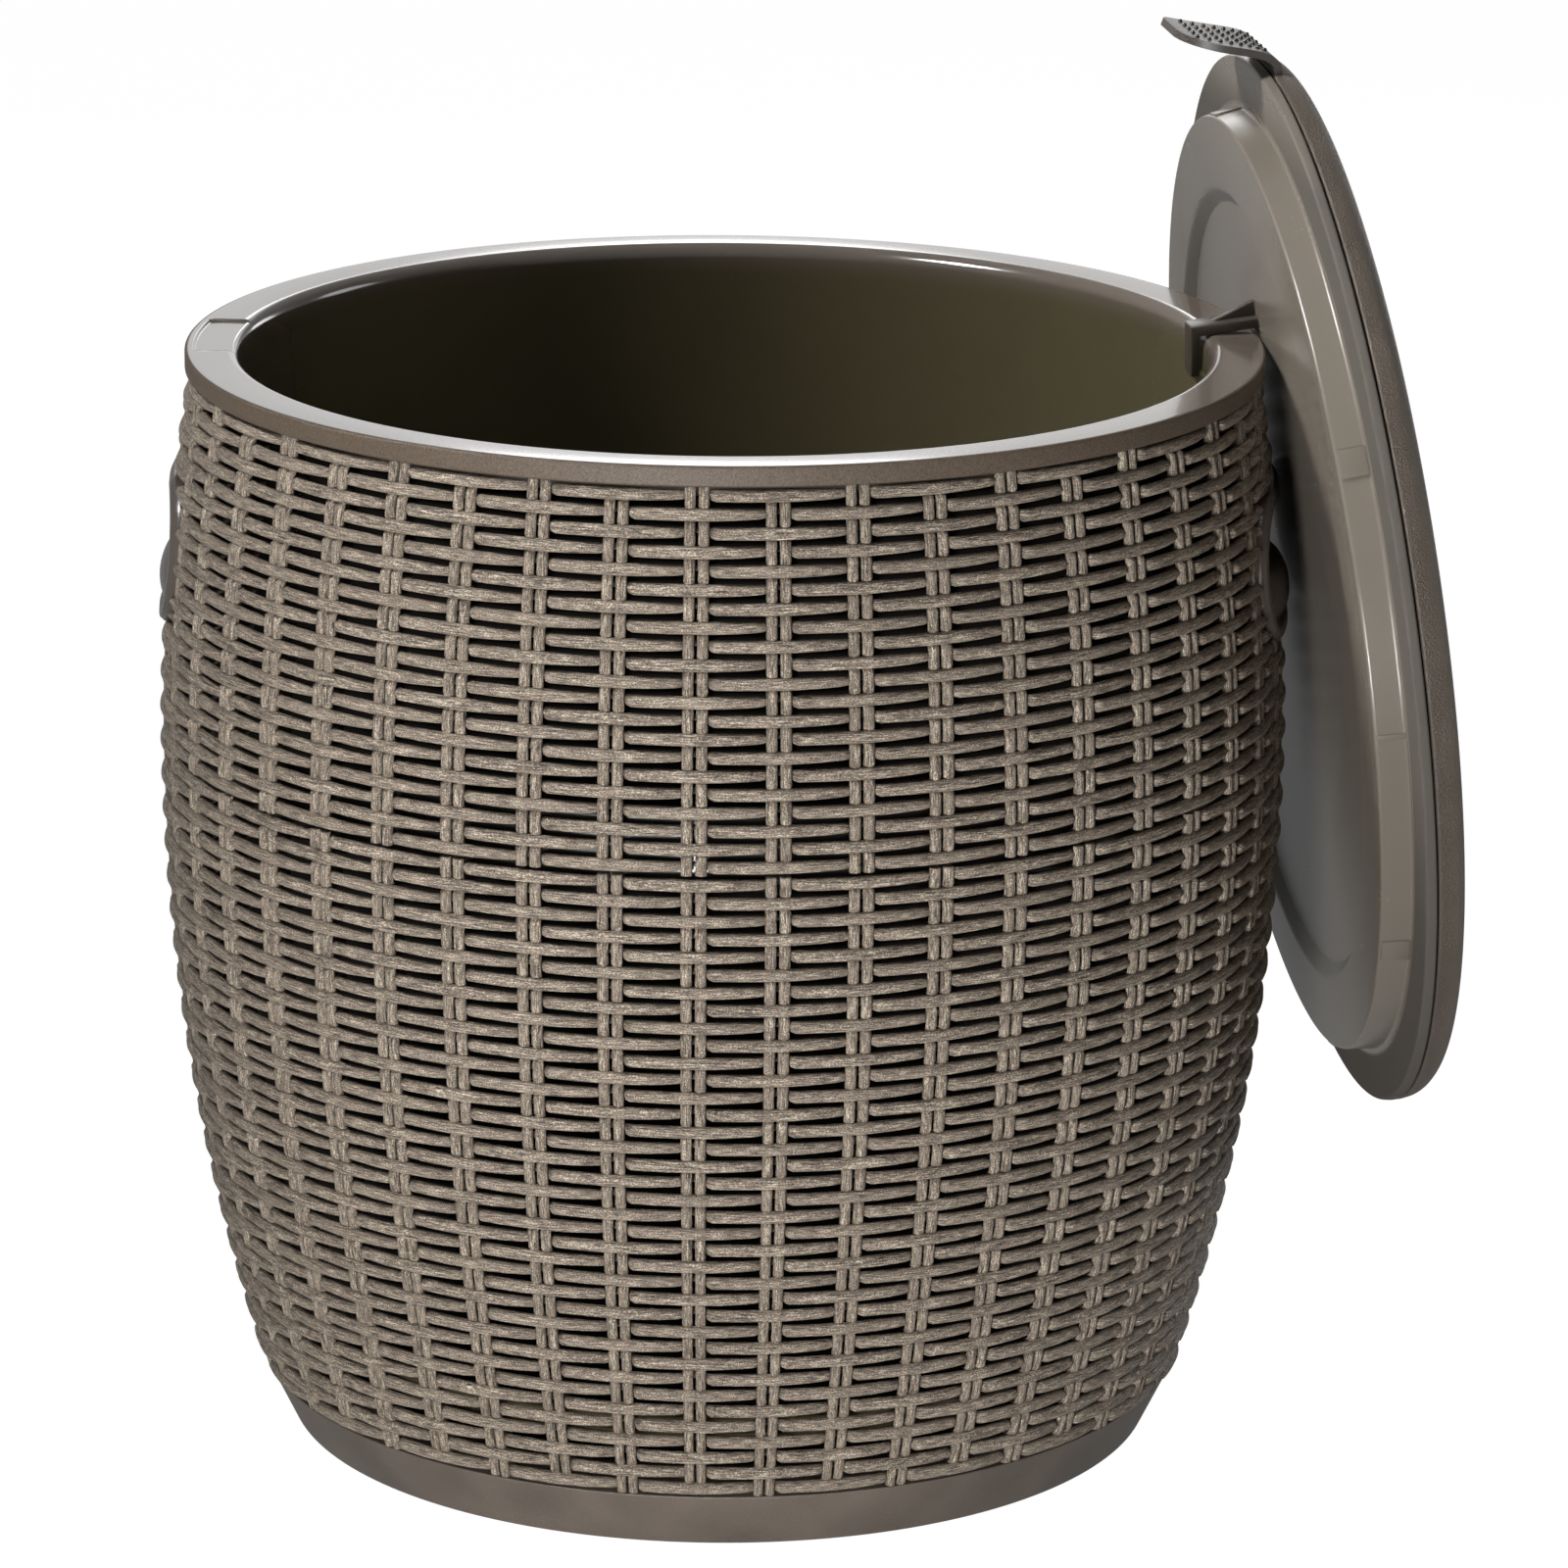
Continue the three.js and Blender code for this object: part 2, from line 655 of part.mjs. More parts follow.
const plugShankRadius = drainBoreRadius - fitGap;
const sealHeight = drainFlangeTop - plugShankLength / 2;

function drainPlug() {
  const headFoot = drainFlangeTop + fitGap;
  const shankFoot = headFoot - plugShankLength;
  const groove = plugShankRadius - 2 * sealRadius;
  const profile = [
    [0, shankFoot],
    [plugShankRadius - sealRadius, shankFoot],
    [plugShankRadius, shankFoot + sealRadius],
    [plugShankRadius, sealHeight - sealRadius - fitGap],
    [groove, sealHeight - sealRadius - fitGap],
    [groove, sealHeight + sealRadius + fitGap],
    [plugShankRadius, sealHeight + sealRadius + fitGap],
    [plugShankRadius, headFoot],
    [plugHeadRadius, headFoot],
    [plugHeadRadius, headFoot + plugHeadTall / 2],
    [plugHeadRadius - plugHeadTall / 2, headFoot + plugHeadTall],
    [0, headFoot + plugHeadTall],
  ];
  const gripShape = roundedRectangle(plugGripWidth, plugGripTall * 2, plugGripTall / 2);
  const gripPlace = new THREE.Vector3(0, plugGripWall / 2, headFoot + plugHeadTall);
  const grip = toSolid(prism(gripShape, plugGripWall, axisX, axisZ, gripPlace, 3));
  const upperHalf = toSolid(cylinder(plugHeadRadius, headFoot + plugHeadTall / 2,
    headFoot + plugHeadTall + plugGripTall + cutOverrun));
  return toGeometry(toSolid(revolve(profile, smallSegments)).add(grip.intersect(upperHalf)));
}

function drainPlugSeal() {
  const middle = plugShankRadius - sealRadius + fitGap / 2;
  return revolve(arc(middle, sealHeight, sealRadius, 0, sealArc, 5), smallSegments);
}

// Lid

function lidTopShell() {
  const foot = lidSeam + lidSeamGap;
  const [edgeTop, inside] = [lidTopHeight - lidTopRound, lidTopHeight - lidWall];
  const ringOuter = lidRadius - spigotRingInset;
  const ringInner = ringOuter - spigotRingWall;
  const ringFoot = lidWall + fitGap;
  const rounding = [];
  for (const share of lidRoundShares) {
    const angle = share * Math.PI / 2;
    rounding.push([
      lidRadius - lidTopSetback * (1 - Math.cos(angle)),
      edgeTop + lidTopRound * Math.sin(angle),
    ]);
  }
  const profile = [
    [0, lidTopHeight + lidCrown],
    ...rounding.reverse(),
    [lidRadius, foot],
    [lidRadius - lidWall, foot],
    [lidRadius - lidWall, edgeTop],
    [ringOuter, edgeTop + lidWall],
    [ringOuter, ringFoot],
    [ringInner, ringFoot],
    [ringInner, inside],
    [0, inside],
  ];
  let shell = toSolid(revolve(profile, lidSegments));
  const slotTall = tabWall + 2 * fitGap;
  const slotPlace = new THREE.Vector3(-lidRadius + tabRootLength / 2, 0, tabHeight - slotTall / 2);
  const slotLength = tabRootLength + 4 * cutOverrun;
  const slotShape = roundedRectangle(slotLength, tabWidth + 2 * slideGap, fitGap);
  shell = shell.subtract(toSolid(prism(slotShape, slotTall, axisX, axisY, slotPlace, 1)));
  const belowPlace = new THREE.Vector3(slotPlace.x + lidWall, 0, 0);
  const below = toSolid(prism(slotShape, tabHeight, axisX, axisY, belowPlace, 1));
  const insideEdge = toSolid(cylinder(lidRadius - lidWall, 0, lidTopHeight, lidSegments));
  shell = shell.subtract(below.intersect(insideEdge));
  const clampFoot = tabHeight + tabWall / 2 + fitGap;
  const clampShape = roundedRectangle(tabSeatLength, tabSeatWidth, fitGap);
  const clampPlace = new THREE.Vector3(-(ringInner - tabSeatLength), 0, clampFoot);
  const clamp = toSolid(prism(clampShape, inside + fitGap - clampFoot, axisX, axisY, clampPlace, 1));
  return toGeometry(shell.add(clamp));
}

function hook() {
  const dishFloor = plugDepth - dishDepth;
  const root = dishFloor - lidWall / 2;
  const legSide = dishFloor + hookReach;
  const lean = Math.tan(hangLean);
  const [seat, back] = [-hookSeat, -hookSeat - hookThickness];
  const tip = seat + legLength;
  const bar = outline([
    [seat, -root],
    [seat, -legSide],
    [tip, -legSide - legLength * lean],
    [tip, -legSide - legLength * lean - legThickness + legCorner],
    [tip - legCorner, -legSide - legLength * lean - legThickness],
    [back + legCorner, -legSide - legThickness],
    [back, -legSide - legThickness + legCorner],
    [back, -root],
  ]);
  const web = outline([
    [back + legCorner, -root],
    [back + legCorner, -dishFloor - gussetReach],
    [back - gussetRise, -dishFloor],
    [back - gussetRise, -root],
  ]);
  const barPlace = new THREE.Vector3(0, hookWidth / 2, 0);
  const webPlace = new THREE.Vector3(0, gussetWall / 2, 0);
  const barSolid = toSolid(prism(bar, hookWidth, axisX, axisZ, barPlace));
  return barSolid.add(toSolid(prism(web, gussetWall, axisX, axisZ, webPlace)));
}

function lidUndersideShell() {
  const dishFloor = plugDepth - dishDepth;
  const plugFoot = plugRadius + plugDraft;
  const profile = [
    [0, -dishFloor],
    [dishRadius - dishSlope, -dishFloor],
    [dishRadius, -plugDepth],
    [plugRadius - plugCorner, -plugDepth],
    [plugRadius, -plugDepth + plugCorner],
    [plugFoot, 0],
    ...arc(lidRadius - lidLip, lidLip, lidLip, -90, 0, 2),
    [lidRadius, lidSeam],
    [lidRadius - lidWall, lidSeam],
    [lidRadius - lidWall, lidWall],
    [plugRadius - lidWall, lidWall],
    [plugRadius - lidWall, -plugDepth + lidWall],
    [dishRadius + dishSlope / 2, -plugDepth + lidWall],
    [dishRadius - dishSlope / 2, -dishFloor + lidWall],
    [0, -dishFloor + lidWall],
  ];
  let shell = toSolid(revolve(profile, lidSegments)).add(hook());
  for (const turn of keyTurns) {
    const keyShape = roundedRectangle(keyProud * 2 + plugDraft, keyWidth, keyProud / 2);
    const key = prism(keyShape, plugDepth - plugCorner, axisX, axisY,
      new THREE.Vector3(-plugRadius, 0, -plugDepth + plugCorner), 1);
    shell = shell.add(toSolid(key.rotateZ(THREE.MathUtils.degToRad(turn))));
  }
  const seatTop = tabHeight - tabWall / 2 - fitGap;
  const seatShape = roundedRectangle(tabSeatLength, tabSeatWidth, fitGap);
  const seatInner = lidRadius - spigotRingInset - spigotRingWall;
  const seatPlace = new THREE.Vector3(-(seatInner - tabSeatLength), 0, lidWall / 2);
  const seat = toSolid(prism(seatShape, seatTop - lidWall / 2, axisX, axisY, seatPlace, 1));
  return toGeometry(shell.add(seat));
}

function lidCore() {
  const dishFloor = plugDepth - dishDepth;
  const radius = plugRadius - lidWall - lidCoreGap;
  return revolve([
    [0, -dishFloor + lidWall + fitGap],
    [dishRadius + dishSlope / 2 - fitGap, -dishFloor + lidWall + fitGap],
    [dishRadius + dishSlope / 2 + fitGap, -plugDepth + lidWall + fitGap],
    [radius, -plugDepth + lidWall + fitGap],
    [radius, lidTopHeight - lidWall - fitGap],
    [0, lidTopHeight - lidWall - fitGap],
  ], lidSegments);
}

// The tab's middle line runs out between the shells, bends down round the lid's
// edge and flares out to its tip. It is a list of [distance out, height] points.
function tabLine() {
  const start = new THREE.Vector2(lidRadius - tabRootLength, tabHeight);
  const edge = new THREE.Vector2(lidRadius + fitGap, tabHeight);
  const knee = new THREE.Vector2(lidRadius + 3 * tabWall, tabHeight);
  const [outShare, downShare] = tabWaistShares;
  const waist = new THREE.Vector2(lidRadius + tabFlare * outShare, -tabDrop * downShare);
  const tip = new THREE.Vector2(lidRadius + tabFlare, -tabDrop);
  const curve = new THREE.CubicBezierCurve(edge, knee, waist, tip);
  return [start, ...curve.getPoints(8)];
}

function lidTab() {
  const line = tabLine();
  const [outerSide, innerSide] = [[], []];
  line.forEach((point, i) => {
    const before = line[Math.max(i - 1, 0)];
    const after = line[Math.min(i + 1, line.length - 1)];
    const along = after.clone().sub(before).normalize();
    const across = new THREE.Vector2(-along.y, along.x).multiplyScalar(tabWall / 2);
    outerSide.push([-(point.x + across.x), point.y + across.y]);
    innerSide.push([-(point.x - across.x), point.y - across.y]);
  });
  const section = outline([...outerSide, ...innerSide.reverse()]);
  const stripPlace = new THREE.Vector3(0, tabWidth / 2, 0);
  const strip = toSolid(prism(section, tabWidth, axisX, axisZ, stripPlace));
  const [top, bottom] = [tabHeight + tabWall + tabCorner, -tabDrop - tabWall / 2];
  const face = roundedRectangle(tabWidth, top - bottom, tabCorner);
  const facePlace = new THREE.Vector3(-lidRadius - tabFlare - tabWall, 0, (top + bottom) / 2);
  const reach = tabRootLength + tabFlare + 2 * tabWall;
  const blank = toSolid(prism(face, reach, axisY, axisZ, facePlace));
  return toGeometry(strip.intersect(blank));
}

// Assembly

const plastic = {
  weave: { color: 0x7d7167, roughness: 0.75 },
  rim: { color: 0x6b625a, roughness: 0.3 },
  foot: { color: 0x746a61, roughness: 0.5 },
  insert: { color: 0x5c534b, roughness: 0.4 },
  tableTop: { color: 0x5b5148, roughness: 0.7 },
  underside: { color: 0x827b74, roughness: 0.3 },
  foam: { color: 0x1e1c1a, roughness: 0.6 },
  fitting: { color: 0x3a3633, roughness: 0.5 },
  rubber: { color: 0x161616, roughness: 0.85 },
  steel: { color: 0x9a9a98, roughness: 0.35, metalness: 0.9 },
};

function piece(name, geometry, finish) {
  const mesh = new THREE.Mesh(geometry, new THREE.MeshStandardMaterial(plastic[finish]));
  mesh.name = name;
  return mesh;
}

const barrel = new THREE.Group();
barrel.add(
  piece('liner_bucket', bucket(), 'rim'),
  piece('wicker_shell_upper', upperShell(), 'weave'),
  piece('wicker_shell_lower', lowerShell(), 'weave'),
  piece('base_pan', basePan(), 'foot'),
  piece('insulation_sleeve', insulationSleeve(), 'foam'),
  piece('insulation_disc', insulationDisc(), 'foam'),
);

for (let number = 0; number < screwCount; number += 1) {
  const screw = piece(`base_screw_${number + 1}`, baseScrew(), 'steel');
  const [x, y] = aroundAxis(bossCircle, screwTurn(number));
  screw.position.set(x, y, 0);
  barrel.add(screw);
}

for (const [name, side] of [['handle_insert_right', 0], ['handle_insert_left', Math.PI]]) {
  const insert = piece(name, handleInsert(), 'insert');
  insert.rotation.z = side;
  barrel.add(insert);
}

const drain = new THREE.Group();
drain.position.y = drainOffset;
drain.add(
  piece('drain_fitting', drainFitting(), 'fitting'),
  piece('drain_gasket', drainGasket(), 'rubber'),
  piece('drain_nut', drainNut(), 'fitting'),
  piece('drain_plug', drainPlug(), 'fitting'),
  piece('drain_plug_seal', drainPlugSeal(), 'rubber'),
);

// The hook's leg hangs just inside the bucket's wall, and its bar rests on the
// inner edge of the rim. Both together give the place of the lid.
const lid = new THREE.Group();
const restRadius = mouthRadius + lipRound;
const flatShare = Math.cos(Math.PI / turnSegments); // how near a facet's middle comes to the axis
const legRadius = bucketRadius(rimHeight - legLength - hookThickness) * flatShare - legGap;
const legDepth = plugDepth - dishDepth + hookReach;
const restDepth = legDepth - (restRadius - legRadius) / Math.cos(hangLean);
lid.position.set(
  restRadius + hookSeat * Math.sin(hangLean) + restDepth * Math.cos(hangLean),
  0,
  rimHeight + fitGap - hookSeat * Math.cos(hangLean) + restDepth * Math.sin(hangLean),
);
lid.rotation.y = Math.PI / 2 - hangLean;
lid.add(
  piece('lid_top_shell', lidTopShell(), 'tableTop'),
  piece('lid_underside_shell', lidUndersideShell(), 'underside'),
  piece('lid_core', lidCore(), 'foam'),
  piece('lid_tab', lidTab(), 'tableTop'),
);
const hungLid = new THREE.Group();
hungLid.rotation.z = hangTurn;
hungLid.add(lid);

const table = new THREE.Group();
table.add(barrel, drain, hungLid);

export default table;
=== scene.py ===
# %% [markdown]
# Ice bucket coffee table
#
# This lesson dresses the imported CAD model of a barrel-shaped cooler table. The
# barrel is moulded to look like rattan, its rim and bucket are glossy plastic,
# and its table-top lid hangs on the rim by a hook. Sizes are in millimetres in
# the text and are turned to metres where a mesh is made.

import math

import bmesh
import bpy
from mathutils import Matrix, Vector


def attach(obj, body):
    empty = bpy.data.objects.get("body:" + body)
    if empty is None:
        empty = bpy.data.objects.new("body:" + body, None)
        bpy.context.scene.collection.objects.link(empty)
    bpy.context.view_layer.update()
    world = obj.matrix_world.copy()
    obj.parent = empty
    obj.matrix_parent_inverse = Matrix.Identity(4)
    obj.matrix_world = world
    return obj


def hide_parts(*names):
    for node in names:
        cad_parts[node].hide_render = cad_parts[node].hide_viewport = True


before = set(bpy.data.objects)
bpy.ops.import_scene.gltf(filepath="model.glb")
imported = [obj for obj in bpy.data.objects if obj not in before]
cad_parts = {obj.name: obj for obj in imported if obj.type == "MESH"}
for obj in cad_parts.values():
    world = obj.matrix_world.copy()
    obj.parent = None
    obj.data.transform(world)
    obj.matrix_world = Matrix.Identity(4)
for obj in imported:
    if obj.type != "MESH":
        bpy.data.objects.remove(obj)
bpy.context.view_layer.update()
print("loaded", len(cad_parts), "nodes of the frame")

# %% [markdown]
# Sizes
#
# The proportions were measured in the photograph, and the scale is a guess from
# what such tables measure. The barrel is widest at the seam between its two
# wicker shells.

# %% Sizes
MM = 0.001
RIM_HEIGHT = 412.0
RIM_RADIUS = 200.0
SEAM_HEIGHT = 266.8
SEAM_RADIUS = 211.2
SHELL_TOP = 404.2
SHELL_TOP_RADIUS = 199.3
SHELL_FOOT = 22.3
SHELL_FOOT_RADIUS = 176.7
UPPER_POWER = 1.8
LOWER_POWER = 2.1
STAKE_PAIRS = 44
UPPER_ROWS = 21
LOWER_ROWS = 37

ROD_DEPTH = 5.2  # thickness of a lying rod, in and out
ROD_TALL = 4.75
ROD_INSET = 0.1  # how far the rods' crests stay inside the barrel's outline
ROD_BOW = 2.6  # how far a rod draws back between two pairs of stakes
ROD_DIVE = 3.2  # and how much further it sinks behind a pair
ROD_END = 0.81  # where that dive begins, as a share of the way to the next pair
ROD_TIP = 0.77  # where the rounded left tip of a rod begins, as the same share
ROD_TIP_LENGTH = 0.08  # how long that tip is, as the same share
ROD_BACK = 0.8  # how far a rod draws back towards that tip
ROD_TAPER = 0.30  # how much thinner a rod gets towards its right end
ROD_CROWDING = 0.2  # how far the rod's steps are drawn towards its two ends
ROD_STEPS = 14  # steps along a rod from one pair of stakes to the next
STUB_WIDTH = 4.3
STUB_DEPTH = 3.6
STUB_SPACING = 5.15  # between the two stakes of a pair
STUB_LENGTH = 10.4
STUB_DIVE = 3.6
STUB_TOP = 0.62  # where its upper end starts to sink, as a share of half its length
STUB_FOOT = 0.6  # where its rounded lower end starts, as the same share
STUB_INSET = 1.4  # how far the stubs stay behind the rods that cross them

HANDLE_HEIGHT = 337.5
HANDLE_WIDTH = 111.0
HANDLE_TALL = 55.0

MOUTH_RADIUS = 179.6
LIP = 5.0
FLANGE = 3.0
BUCKET_FLOOR = 40.0
BUCKET_FOOT_RADIUS = 166.0
BUCKET_CORNER = 12.0

LID_RADIUS = 200.0
HANG_TURN = math.radians(10.5)
HANG_LEAN = math.radians(7.25)


def barrel(height):
    """Outside radius of the weave at a height."""
    up = max(height - SEAM_HEIGHT, 0) / (SHELL_TOP - SEAM_HEIGHT)
    down = max(SEAM_HEIGHT - height, 0) / (SEAM_HEIGHT - SHELL_FOOT)
    upper_drop = (SEAM_RADIUS - SHELL_TOP_RADIUS) * up**UPPER_POWER
    lower_drop = (SEAM_RADIUS - SHELL_FOOT_RADIUS) * down**LOWER_POWER
    return SEAM_RADIUS - upper_drop - lower_drop


print("the barrel's widest radius is", barrel(SEAM_HEIGHT), "mm")

# %% [markdown]
# Node arithmetic
#
# A small class wraps a node socket, so that shader trees and geometry trees
# can be written as plain sums. One function makes every other node.

# %% Node arithmetic


class Value:
    """A socket of a node tree, on which ordinary arithmetic makes further nodes."""

    def __init__(self, tree, socket):
        self.tree = tree
        self.socket = socket

    def math(self, operation, *others):
        return node(self.tree, "ShaderNodeMath", [self, *others], operation=operation)

    def __add__(self, other):
        return self.math("ADD", other)

    def __sub__(self, other):
        return self.math("SUBTRACT", other)

    def __rsub__(self, other):
        return node(self.tree, "ShaderNodeMath", [other, self], operation="SUBTRACT")

    def __mul__(self, other):
        return self.math("MULTIPLY", other)

    def __truediv__(self, other):
        return self.math("DIVIDE", other)

    def __pow__(self, other):
        return self.math("POWER", other)

    def __mod__(self, other):
        return self.math("FLOORED_MODULO", other)

    def __lt__(self, other):
        return self.math("LESS_THAN", other)

    def __gt__(self, other):
        return self.math("GREATER_THAN", other)

    def __abs__(self):
        return self.math("ABSOLUTE")

    __radd__ = __add__
    __rmul__ = __mul__

    def most(self, other):
        return self.math("MAXIMUM", other)

    def least(self, other):
        return self.math("MINIMUM", other)

    def sine(self):
        return self.math("SINE")

    def cosine(self):
        return self.math("COSINE")

    def root(self):
        return self.most(0.0).math("SQRT")


def node(tree, kind, inputs=(), output=0, **settings):
    """Makes a node, fills its inputs by order or by name, and returns one output."""
    made = tree.nodes.new(kind)
    for name, value in settings.items():
        setattr(made, name, value)
    pairs = inputs.items() if isinstance(inputs, dict) else enumerate(inputs)
    for key, value in pairs:
        if isinstance(value, Value):
            tree.links.new(value.socket, made.inputs[key])
        else:
            made.inputs[key].default_value = value
    return Value(tree, made.outputs[output])


def ramp(value, low, high):
    """Runs from 0 to 1 between two values, smoothly at both ends."""
    share = ((value - low) / (high - low)).most(0.0).least(1.0)
    return share * share * (3.0 - 2.0 * share)


print("node arithmetic is ready")

# %% [markdown]
# Materials
#
# Every material is a plastic, foam, rubber or steel. Each has a colour with a
# faint mottle, a roughness that varies a little and a fine relief.

# %% Materials


def noise(tree, place, scale, detail):
    """A cloudy pattern between 0 and 1."""
    return node(tree, "ShaderNodeTexNoise", {"Vector": place, "Scale": scale, "Detail": detail})


def reshade(made, shares, added_rough):
    """Multiplies a finish's colour channels by fields and adds a field to its roughness."""
    tree = made.node_tree
    shader = tree.nodes["Principled BSDF"]
    tint = shader.inputs["Base Color"].links[0].from_node
    for channel, share in enumerate(shares):
        colour = Value(tree, tint.inputs[channel].links[0].from_socket)
        tree.links.new((colour * share).socket, tint.inputs[channel])
    rough = Value(tree, shader.inputs["Roughness"].links[0].from_socket)
    tree.links.new((rough + added_rough).least(1.0).socket, shader.inputs["Roughness"])


def paint(tree, shader, channels):
    tint = node(tree, "ShaderNodeCombineColor", channels)
    tree.links.new(tint.socket, shader.inputs["Base Color"])


def emboss(tree, shader, height, relief, strength=0.8):
    """Gives a shader a relief, whose full height is in millimetres."""
    inputs = {"Height": height, "Strength": strength, "Distance": relief * MM}
    bump = node(tree, "ShaderNodeBump", inputs, output="Normal")
    tree.links.new(bump.socket, shader.inputs["Normal"])


def split(tree, vector):
    parts = node(tree, "ShaderNodeSeparateXYZ", [vector])
    outputs = parts.socket.node.outputs
    return [Value(tree, outputs[i]) for i in range(3)]


def material(name, colour, roughness, grain, relief, mottle=0.06, gloss=0.0, haze=0.04, **constants):
    """colour is linear; grain is the relief's fineness per metre, relief its height in mm."""
    made = bpy.data.materials.new(name)
    made.use_nodes = True
    tree = made.node_tree
    shader = tree.nodes["Principled BSDF"]
    place = node(tree, "ShaderNodeTexCoord", output="Object")
    cloud = noise(tree, place, 30.0, 4.0)
    fine = noise(tree, place, grain, 3.0)
    shade = 1.0 + (cloud - 0.5) * (2.0 * mottle) + (fine - 0.5) * mottle
    paint(tree, shader, [shade * c for c in colour])
    rough = (roughness + (cloud - 0.5) * haze + (fine - 0.5) * haze).most(0.05).least(1.0)
    tree.links.new(rough.socket, shader.inputs["Roughness"])
    emboss(tree, shader, fine, relief)
    shader.inputs["Coat Weight"].default_value = gloss
    shader.inputs["Coat Roughness"].default_value = 0.08
    for key, value in constants.items():
        shader.inputs[key.replace("_", " ")].default_value = value
    return made


def woven_material(name, colour, roughness):
    """Plastic rattan: streaks run along each strand, with a speckle across them."""
    made = bpy.data.materials.new(name)
    made.use_nodes = True
    tree = made.node_tree
    shader = tree.nodes["Principled BSDF"]
    fibre = node(tree, "ShaderNodeAttribute", attribute_name="fibre", output="Vector")
    along, across, strand = split(tree, fibre)
    streak_place = node(tree, "ShaderNodeCombineXYZ", [along * 0.25, across * 2.1, strand])
    speck_place = node(tree, "ShaderNodeCombineXYZ", [along * 2.2, across * 2.6, strand])
    patch_place = node(tree, "ShaderNodeCombineXYZ", [along * 0.05, across * 0.1, strand * 3.7])
    streak = noise(tree, streak_place, 1.0, 4.0)
    speck = noise(tree, speck_place, 1.0, 2.0)
    patch = noise(tree, patch_place, 1.0, 2.0)
    # The brightest specks of the grain are painted much lighter and less red, as painted highlights,
    # and are made glossier.
    painted_glint_specks = ramp(speck * 0.6 + streak * 0.4, 0.50, 0.66)
    pore = ramp(speck * 0.5 + streak * 0.5, 0.50, 0.36)
    shade = 0.74 + (streak - 0.5) * 0.9 + (patch - 0.5) * 0.4 + painted_glint_specks * 2.4 - pore * 0.45
    warm = 1.0 - painted_glint_specks * 0.12
    paint(tree, shader, [shade * colour[0] * warm, shade * colour[1], shade * colour[2]])
    rough = (roughness + (0.5 - speck) * 0.35 - painted_glint_specks * 0.16).most(0.2).least(1.0)
    tree.links.new(rough.socket, shader.inputs["Roughness"])
    emboss(tree, shader, streak * 0.7 + speck * 0.6, 1.1, 1.0)
    return made


def lined_material(name, colour, roughness):
    """The rim's glossy plastic, olive inside the bucket and satin on the skirt."""
    made = material(name, colour, roughness, 900.0, 0.02, gloss=0.5, haze=0.03)
    tree = made.node_tree
    shader = tree.nodes["Principled BSDF"]
    place = node(tree, "ShaderNodeTexCoord", output="Object")
    x, y, z = split(tree, place)
    radius = (x * x + y * y).root() / MM
    inside = (1.0 - ramp(radius, 179.0, 183.0)) * (1.0 - ramp(z / MM, 400.0, 410.0))
    skirt = ramp(radius, 198.4, 199.4)
    grain = (noise(tree, place, 1500.0, 2.0) - 0.5) * 1.3
    lining = (0.66, 0.68, 0.48)  # share of each colour channel that the lining keeps
    satin = (0.28, 0.36, 0.46)  # share of each that the skirt loses
    reshade(made, [1.0 - inside * (1.0 - share) for share in lining], 0.0)
    reshade(made, [1.0 - skirt * (share - grain) for share in satin], skirt * 0.45)
    tree.links.new((0.5 - skirt * 0.5).socket, shader.inputs["Coat Weight"])
    return made


WEAVE = woven_material("Woven plastic", (0.285, 0.228, 0.178), 0.42)
RIM = lined_material("Glossy rim plastic", (0.120, 0.098, 0.080), 0.16)
BAND = material("Satin base plastic", (0.118, 0.096, 0.078), 0.40, 1700.0, 0.35, mottle=0.45, haze=0.2)
INSERT = material("Handle plastic", (0.075, 0.062, 0.052), 0.24, 1200.0, 0.04, gloss=0.3)
TOP = material("Grained table top", (0.080, 0.064, 0.049), 0.5, 1300.0, 0.7, mottle=0.4, haze=0.2)
UNDER = material("Lid underside plastic", (0.140, 0.122, 0.100), 0.26, 700.0, 0.012, mottle=0.02)
HOOK = material("Hook plastic", (0.050, 0.041, 0.033), 0.32, 1200.0, 0.05, gloss=0.05)
DARK = material("Tab plastic", (0.050, 0.043, 0.037), 0.34, 1200.0, 0.02, gloss=0.25)
# The tab's domes are painted near-black, as painted shade for the grip's dark dimples.
DOT = material("Dome plastic", (0.020, 0.017, 0.014), 0.2, 1200.0, 0.02, gloss=0.3)
COLLAR = material("Lap collar plastic", (0.030, 0.026, 0.022), 0.30, 900.0, 0.1, gloss=0.15)
FOAM = material("Dark foam skin", (0.008, 0.007, 0.006), 0.9, 600.0, 0.3, Specular_IOR_Level=0.1)
FITTING = material("Drain plastic", (0.060, 0.052, 0.045), 0.42, 1500.0, 0.05)
RUBBER = material("Seal rubber", (0.012, 0.012, 0.012), 0.8, 1800.0, 0.05)
STEEL = material("Screw steel", (0.55, 0.55, 0.54), 0.32, 2500.0, 0.03, Metallic=0.95)
print("made", len(bpy.data.materials), "materials")

# %% [markdown]
# Mesh helpers
#
# Round pieces are profiles turned round an axis. Corners are rounded in the
# profile itself, and the result is one smooth mesh with sharp creases kept.

# %% Mesh helpers


def piece(name, mesh, body, finish, replaced, crease=35.0):
    """Makes an object from a mesh, lets it ride on a body and gives it its finish."""
    obj = bpy.data.objects.new(name, mesh)
    bpy.context.scene.collection.objects.link(obj)
    if finish.name not in [m.name for m in mesh.materials if m]:
        mesh.materials.clear()
        mesh.materials.append(finish)
    mesh.shade_smooth()
    mesh.set_sharp_from_angle(angle=math.radians(crease))
    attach(obj, body)
    if replaced:
        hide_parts(*replaced)
    print(name, len(mesh.polygons), "faces")


def mesh_of(name, points, faces, place=None):
    """A mesh from points in millimetres, moved by a matrix in millimetres."""
    if place is not None:
        points = [place @ Vector(p) for p in points]
    mesh = bpy.data.meshes.new(name)
    mesh.from_pydata([tuple(c * MM for c in p) for p in points], [], faces)
    mesh.validate()
    return mesh


